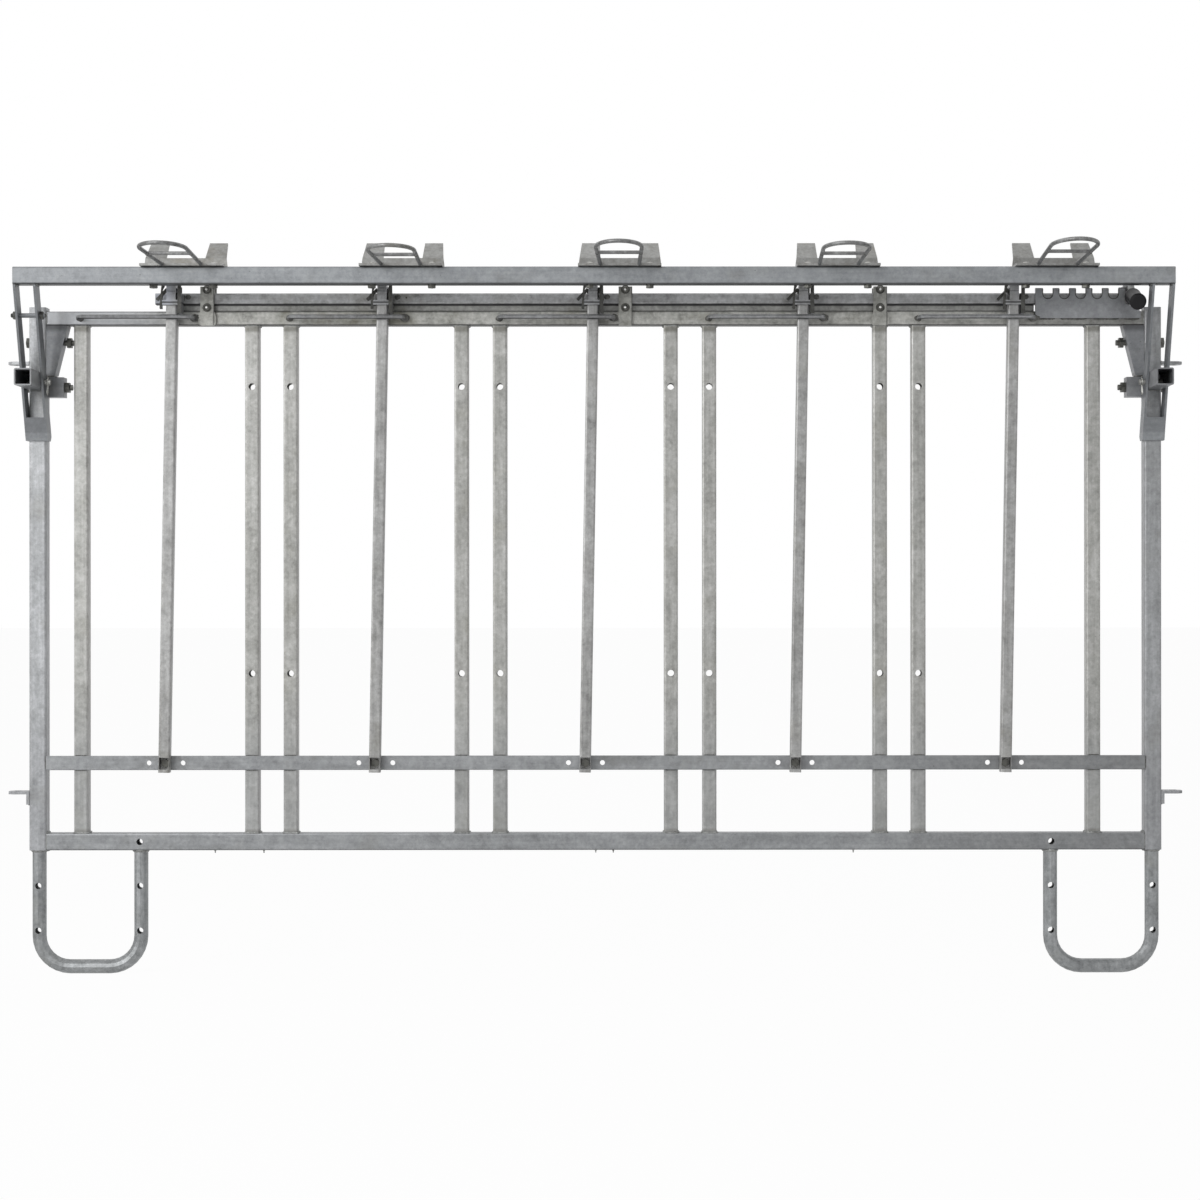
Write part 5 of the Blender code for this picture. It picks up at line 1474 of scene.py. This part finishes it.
    def hoop_height(self, number: int, y: float) -> float:
        """How high a hoop lies at a depth: no two of them rise alike."""
        _, foot_y, foot_z = self.hoop_foot
        return foot_z + self.hoop_rises[number - 1] * (foot_y - self.hoop_level - y)

    def hoop_line(self, number: int) -> list[Point]:
        """A hoop's middle line: two points at each foot, and the rest round its nose.

        Args:
            number: The holder's number, from the left.

        Returns:
            The points, from the left foot to the right one.
        """
        x = self.holder_x(number)
        foot_x, foot_y, foot_z = self.hoop_foot
        depths = (foot_y, foot_y - self.hoop_level)
        line = [(x - foot_x, y, foot_z) for y in depths]
        steps = 24
        for step in range(steps + 1):
            angle = math.pi * step / steps
            y = self.nose_y - math.sin(angle) * self.nose_depth
            line.append((x - math.cos(angle) * self.nose_half, y, self.hoop_height(number, y)))
        return line + [(x + foot_x, y, foot_z) for y in reversed(depths)]

    def form_holder(self, number: int) -> None:
        """One holder: the folded sheet with its two ears, the hoop and the rod across it.

        Args:
            number: The holder's number, from the left.
        """
        x = self.holder_x(number)
        holder = self.piece(f"bucket_holder_{number}", HOLDER_PLATE, Slot.PLATE)
        self.fold_plate(holder, x)
        self.raise_ears(holder, x)
        holder.done(self.shop, replaces=f"holder_{number}")
        hoop = self.piece(f"bucket_hoop_{number}", HOOP_ROD, Slot.STEEL)
        hoop.rod(self.hoop_line(number), self.hoop_radius, sides=14)
        reach = self.cross_half + 0.0004
        z = self.hoop_height(number, self.cross_y)
        ends = [(x + side * reach, self.cross_y, z) for side in (-1, 0, 1)]
        hoop.rod(ends, self.hoop_radius * 0.9, sides=12)
        hoop.done(self.shop)

    def weld_holder(self, number: int) -> None:
        """Lumps at the hoop's feet and at the rod across it, and two short beads at the strip.

        Args:
            number: The holder's number, from the left.
        """
        x = self.holder_x(number)
        z = self.hoop_height(number, self.cross_y) - 0.0006
        welds = self.piece(f"weld_holder_{number}", DARK_WELD, Slot.PLATE)
        for side in (-1, 1):
            foot = (x + side * self.hoop_foot[0], self.foot_y, self.plate_z - 0.0002)
            welds.lump(foot, (0.0054, 0.0050, 0.0024), number * 3.1 + side)
            cross = (x + side * self.cross_half, self.cross_y, z)
            welds.lump(cross, (0.0040, 0.0042, 0.0036), number * 5.3 + side)
        seam = self.edge_y - self.sheet - 0.0002
        for start, end in self.strip_welds:
            welds.wide_bead((x + start, x + end), seam, self.plate_z + 0.0005, radius=0.0016)
        welds.done(self.shop)

    def bolt_holder(self, number: int) -> None:
        """The domed bolts on one holder's plate and their nuts under the bar.

        Args:
            number: The holder's number, from the left.
        """
        bolts = self.piece(f"holder_bolts_{number}", FASTENER, Slot.FASTENER)
        nuts = self.piece(f"holder_nuts_{number}", DARK_FASTENER, Slot.FASTENER)
        y, top, low = self.bolt_y, self.plate_z, self.bottom_z
        for side in (-1, 1):
            x = self.holder_x(number) + side * self.bolt_offset
            bolts.washer((x, y, top), Axis.UP, radius=0.0078, thickness=0.0014)
            bolts.dome((x, y, top + 0.0014), Axis.UP, radius=0.0062, height=0.0042)
            nuts.washer((x, y, low), Axis.DOWN, radius=0.0078, thickness=0.0013)
            nuts.nut((x, y, low - 0.0013), Axis.DOWN, flats=0.013, height=0.0044, shank=0.0007)
        bolts.done(self.shop)
        nuts.done(self.shop)

    def build(self) -> None:
        """Weld the arms, cap the tie bolt, and form and fix the five holders."""
        self.weld_arms()
        self.cap_tie_bolt()
        for number in range(1, 6):
            self.form_holder(number)
            self.weld_holder(number)
            self.bolt_holder(number)


@dataclass
class Lever:
    """The lever's moulded grip."""

    shop: PaintShop
    start: Point = (LEVER_X, -0.026, 1.194)
    slope: float = math.radians(18)
    radius: float = 0.0145
    length: float = 0.055
    mouth: float = 0.0075

    def build(self) -> None:
        """Turn the grip: a rolled mouth, a slight waist and a softly domed end."""
        grip = Piece("lever_grip", Body.LEVER, Slot.PLASTIC, BLACK_PLASTIC)
        full, end = self.radius, self.length
        profile = [(self.mouth, 0.0012), (self.mouth + 0.0006, 0.0), (full - 0.0016, 0.0)]
        profile += [(full - 0.0005, 0.0005), (full, 0.0016), (full, 0.0040)]
        profile += [(full - 0.0007, 0.0056), (full - 0.0009, 0.5 * end), (full - 0.0007, 0.84 * end)]
        profile += [(full, 0.88 * end), (full, end - 0.0034), (full - 0.0006, end - 0.0017)]
        profile += [(full - 0.0021, end - 0.0005), (full * 0.62, end - 0.0001), (full * 0.2, end)]
        grip.turned(profile, self.start, Axis.FRONT, sides=40)
        grip.slope(self.slope, self.start)
        grip.done(self.shop, replaces="grip")


@dataclass
class Hardware:
    """Small fixings that stay with the panel: pin clips, slide guides and clamp bolts."""

    shop: PaintShop
    pin: Point = (0.9605, -0.024, 1.043)
    clip_radius: float = 0.00125
    clip_bend: float = 0.0066
    clip_bow: tuple[Pair, ...] = (
        (-0.0008, -0.020), (-0.0040, -0.0222), (-0.0072, -0.0200),
        (-0.0075, -0.0150), (-0.0058, -0.0100),
    )
    guide_front: float = -0.0028
    guide_back: float = 0.0274
    guide_bolts: Pair = (1.17685, 1.2085)
    guide_thick: float = 0.005
    rear_thick: float = 0.004
    guide_half: float = 0.012
    guide_top: float = 1.214
    rear_bottom: float = 1.1711
    shank: float = 0.004
    round_foot: tuple[Pair, ...] = (
        (1.1455, 0.0100), (1.1460, 0.0120), (1.1470, 0.0137), (1.1485, 0.0150),
        (1.1505, 0.0158), (1.1530, 0.0160), (1.1580, 0.0158), (1.1630, 0.0150),
        (1.1670, 0.0135), (1.1705, 0.0122), (1.1740, 0.0120), (1.2140, 0.0120),
    )
    square_foot: tuple[Pair, ...] = (
        (1.1455, 0.0118), (1.1580, 0.0121), (1.1635, 0.0136), (1.1665, 0.0139),
        (1.1690, 0.0126), (1.1720, 0.0120), (1.2140, 0.0120),
    )
    clamp_outer: float = 1.0067
    clamp_inner: float = 0.9305
    clamp_y: float = 0.015
    clamp_heights: Pair = (1.037, 1.116)

    def piece(self, name: str, finish: Finish = FASTENER, slot: Slot = Slot.FASTENER) -> Piece:
        """A new piece that stays with the panel."""
        return Piece(name, Body.PANEL, slot, finish)

    def clip_pins(self) -> None:
        """An R-shaped spring clip through the inner end of each arm pin."""
        reach, y, z = self.pin
        line = [(y, z + 0.0085), (y, z - 0.017)]
        line += [(y + across, z + rise) for across, rise in self.clip_bow]
        for degrees in range(-58, 87, 24):
            angle = math.radians(degrees)
            across, rise = self.clip_bend * math.cos(angle), self.clip_bend * math.sin(angle)
            line.append((y - across, z + rise))
        line.append((y - 0.0030, z + 0.0100))
        for name, side in (("left", -1), ("right", 1)):
            clip = self.piece(f"{name}_pin_clip")
            clip.rod([(side * reach, *spot) for spot in line], self.clip_radius, sides=8)
            clip.done(self.shop)

    def plate_guides(self) -> None:
        """The guides: a footed front plate, a rear plate and the shanks of two bolts each."""
        for number, x in enumerate(GUIDE_PLACES, 1):
            guide = self.piece(f"slide_guide_plates_{number}", GUIDE_PLATE, Slot.PLATE)
            outline = self.square_foot if number == 2 else self.round_foot
            y = self.guide_front + self.guide_thick / 2
            spans = [(x - half, x + half) for _, half in outline]
            guide.sheet([(y, z) for z, _ in outline], spans, self.guide_thick)
            y = self.guide_back - self.rear_thick / 2
            spans = [(x - self.guide_half, x + self.guide_half)] * 2
            guide.sheet([(y, self.rear_bottom), (y, self.guide_top)], spans, self.rear_thick)
            for z in self.guide_bolts:
                ends = [(x, y + 0.001, z) for y in (self.guide_front, self.guide_back)]
                guide.rod(ends, self.shank, sides=16)
            guide.done(self.shop, replaces=f"slide_guide_{number}")

    def fasten_guides(self) -> None:
        """Nuts behind the slide guides, and dark domed heads in front with a painted highlight each.
        """
        front = self.guide_front
        for number, x in enumerate(GUIDE_PLACES, 1):
            nuts = self.piece(f"guide_nuts_{number}")
            collars = self.piece(f"guide_collars_{number}", DARK_FASTENER)
            highlight_domes = self.piece(f"guide_bolt_tips_{number}", HIGHLIGHT_FASTENER)
            for z in self.guide_bolts:
                nuts.nut((x, self.guide_back, z), Axis.BACK, flats=0.011, height=0.0045, shank=0.0038)
                collars.washer((x, front + 0.0002, z), Axis.FRONT, radius=0.0078, thickness=0.0013)
                collars.dome((x, front - 0.0008, z), Axis.FRONT, radius=0.0062, height=0.0050)
                highlight_domes.dome((x - 0.0004, front - 0.0052, z), Axis.FRONT, radius=0.0021, height=0.0009)
            nuts.done(self.shop)
            highlight_domes.done(self.shop)
            collars.done(self.shop)

    def seat_bolts(self) -> None:
        """The clamp bolts' domed washers outside the posts and their inner ends, painted as
        highlights.
        """
        sides = (("left", -1, Axis.LEFT, Axis.RIGHT), ("right", 1, Axis.RIGHT, Axis.LEFT))
        for name, side, outward, inward in sides:
            ends = self.piece(f"{name}_clamp_bolt_ends", HIGHLIGHT_FASTENER)
            rings = self.piece(f"{name}_clamp_washers", DARK_FASTENER)
            for z in self.clamp_heights:
                tip = (side * self.clamp_inner, self.clamp_y, z)
                ends.dome(tip, inward, radius=0.0046, height=0.0040)
                seat = (side * self.clamp_outer, self.clamp_y, z)
                rings.dome(seat, outward, radius=0.0060, height=0.0018)
            ends.done(self.shop)
            rings.done(self.shop)

    def build(self) -> None:
        """Make the small fixings."""
        self.clip_pins()
        self.plate_guides()
        self.fasten_guides()
        self.seat_bolts()


@dataclass
class Dresser:
    """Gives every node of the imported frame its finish, by what its name starts with."""

    shop: PaintShop
    nodes: dict[str, bpy.types.Object]
    finishes: tuple[tuple[Finish, tuple[str, ...]], ...] = (
        (POST_TUBE, ("left_post", "right_post")),
        (LOW_TUBE, ("bottom_rail", "cross_bar")),
        (RAIL_TUBE, ("top_rail",)),
        (UPRIGHT_TUBE, ("vertical_",)),
        (LEG_TUBE, ("left_leg", "right_leg")),
        (ROUND_ROD, ("guide_rod_", "lever_rod")),
        (YOKE_TUBE, ("yoke_",)),
        (SLIDE_TUBE, ("slide_bar",)),
        (TOP_TUBE, ("top_bar",)),
        (HOLDER_PLATE, ("holder_",)),
        (GUIDE_PLATE, ("slide_guide_",)),
        (FLAT_PLATE, ("notch_plate", "left_socket", "right_socket")),
        (FLAT_PLATE, ("left_bracket", "right_bracket")),
        # Painted shade: the pawls in the catches take the near-black plate.
        (PAINTED_SHADE_PLATE, ("pawl_",)),
        (BLACK_PLASTIC, ("grip",)),
        (FASTENER, ("left_arm_pin", "right_arm_pin")),
        (DARK_FASTENER, ("pivot_bolt_", "left_lower_clamp_bolt", "left_upper_clamp_bolt")),
        (DARK_FASTENER, ("right_lower_clamp_bolt", "right_upper_clamp_bolt")),
    )

    def build(self) -> None:
        """Dress the nodes."""
        for name, obj in self.nodes.items():
            finish = next((f for f, starts in self.finishes if name.startswith(starts)), None)
            if finish is None:
                log.warning("%s has no finish", name)
                continue
            self.shop.dress(obj, finish)
            log.info("%s: %s", name, finish.name)


@dataclass
class Studio:
    """The camera at the photograph's place, the paper floor and the lamps."""

    shop: PaintShop
    eye: Point = (0.08419, -4.18914, 0.65566)
    yaw: float = 0.00235
    pitch: float = 0.00112
    roll: float = -0.0006
    focal_pixels: float = 2450.88
    shift_pixels: float = 48.99
    frame_pixels: float = 1200.0
    sensor: float = 36.0
    farthest: float = 200.0
    floor_reach: float = 60.0
    world_grey: float = 0.10
    key_power: float = 156.0
    fill_power: float = 4.0
    top_power: float = 16.0

    def set_camera(self) -> None:
        """Stand the camera where the photograph was taken from."""
        level = math.cos(self.pitch)
        ahead = Vector((math.sin(self.yaw) * level, math.cos(self.yaw) * level, math.sin(self.pitch)))
        across = Vector((math.cos(self.yaw), -math.sin(self.yaw), 0.0))
        above = across.cross(ahead)
        right = across * math.cos(self.roll) + above * math.sin(self.roll)
        up = above * math.cos(self.roll) - across * math.sin(self.roll)
        data = bpy.data.cameras.new("camera")
        data.sensor_width = self.sensor
        data.sensor_fit = "HORIZONTAL"
        data.lens = self.focal_pixels * self.sensor / self.frame_pixels
        data.shift_x = -self.shift_pixels / self.frame_pixels
        data.clip_end = self.farthest
        camera = bpy.data.objects.new("camera", data)
        columns = Matrix((right, up, -ahead)).transposed().to_4x4()
        camera.matrix_world = Matrix.Translation(self.eye) @ columns
        bpy.context.scene.collection.objects.link(camera)
        bpy.context.scene.camera = camera

    def lay_floor(self) -> None:
        """A plain pale floor, wide enough to be seen from every side."""
        bm = bmesh.new()
        reach = self.floor_reach
        corners = ((-reach, -reach), (reach, -reach), (reach, reach), (-reach, reach))
        bm.faces.new([bm.verts.new((x, y, 0.0)) for x, y in corners])
        mesh = bpy.data.meshes.new("studio_floor")
        bm.to_mesh(mesh)
        bm.free()
        mesh.materials.append(self.shop.coat(StudioPaper()))
        floor = bpy.data.objects.new("studio_floor", mesh)
        bpy.context.scene.collection.objects.link(floor)

    def hang_lamp(self, name: str, place: Point, aim: Point, size: float, power: float) -> None:
        """A square soft lamp.

        Args:
            name: The lamp's name.
            place: Where it hangs.
            aim: What it points at.
            size: The side of its face.
            power: Its power in watts.
        """
        data = bpy.data.lights.new(name, "AREA")
        data.shape = "SQUARE"
        data.size = size
        data.energy = power
        lamp = bpy.data.objects.new(name, data)
        lamp.location = place
        turn = (Vector(aim) - Vector(place)).to_track_quat("-Z", "Y")
        lamp.rotation_euler = turn.to_euler()
        bpy.context.scene.collection.objects.link(lamp)

    def light_world(self) -> None:
        """A dim grey surround that the camera, metal and glass see as white."""
        world = bpy.data.worlds.new("studio_world")
        bench = NodeBench(world)
        dim, white = (
            bench.node("ShaderNodeBackground", {}, {"Color": (grey, grey, grey, 1.0)})
            for grey in (self.world_grey, 1.0)
        )
        mixed = bench.node("ShaderNodeMixShader", {}, {0: bench.looked_at(), 1: dim, 2: white})
        bench.node("ShaderNodeOutputWorld", {}, {"Surface": mixed})
        bpy.context.scene.world = world

    def build(self) -> None:
        """Set up the whole studio."""
        self.set_camera()
        self.lay_floor()
        self.light_world()
        self.hang_lamp("key_lamp", (-3.4, -3.6, 2.7), (-0.2, 0.1, 0.7), 3.2, self.key_power)
        self.hang_lamp("fill_lamp", (3.2, -3.4, 1.4), (0.2, 0.1, 0.6), 2.6, self.fill_power)
        self.hang_lamp("top_lamp", (0.0, 1.0, 4.2), (0.0, 0.1, 0.6), 3.0, self.top_power)
        bpy.context.scene.view_settings.view_transform = "Standard"


def main() -> None:
    """Dress the frame, and build the extra pieces and the studio."""
    logging.basicConfig(level=logging.INFO, format="%(name)s %(message)s")
    noise.seed_set(WANDER_SEED)
    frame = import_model()
    shop = PaintShop()
    Studio(shop).build()
    Dresser(shop, frame["nodes"]).build()
    PanelFrame(shop).build()
    SlideBar(shop).build()
    TopBar(shop).build()
    Lever(shop).build()
    Hardware(shop).build()


if __name__ == "__main__":
    main()
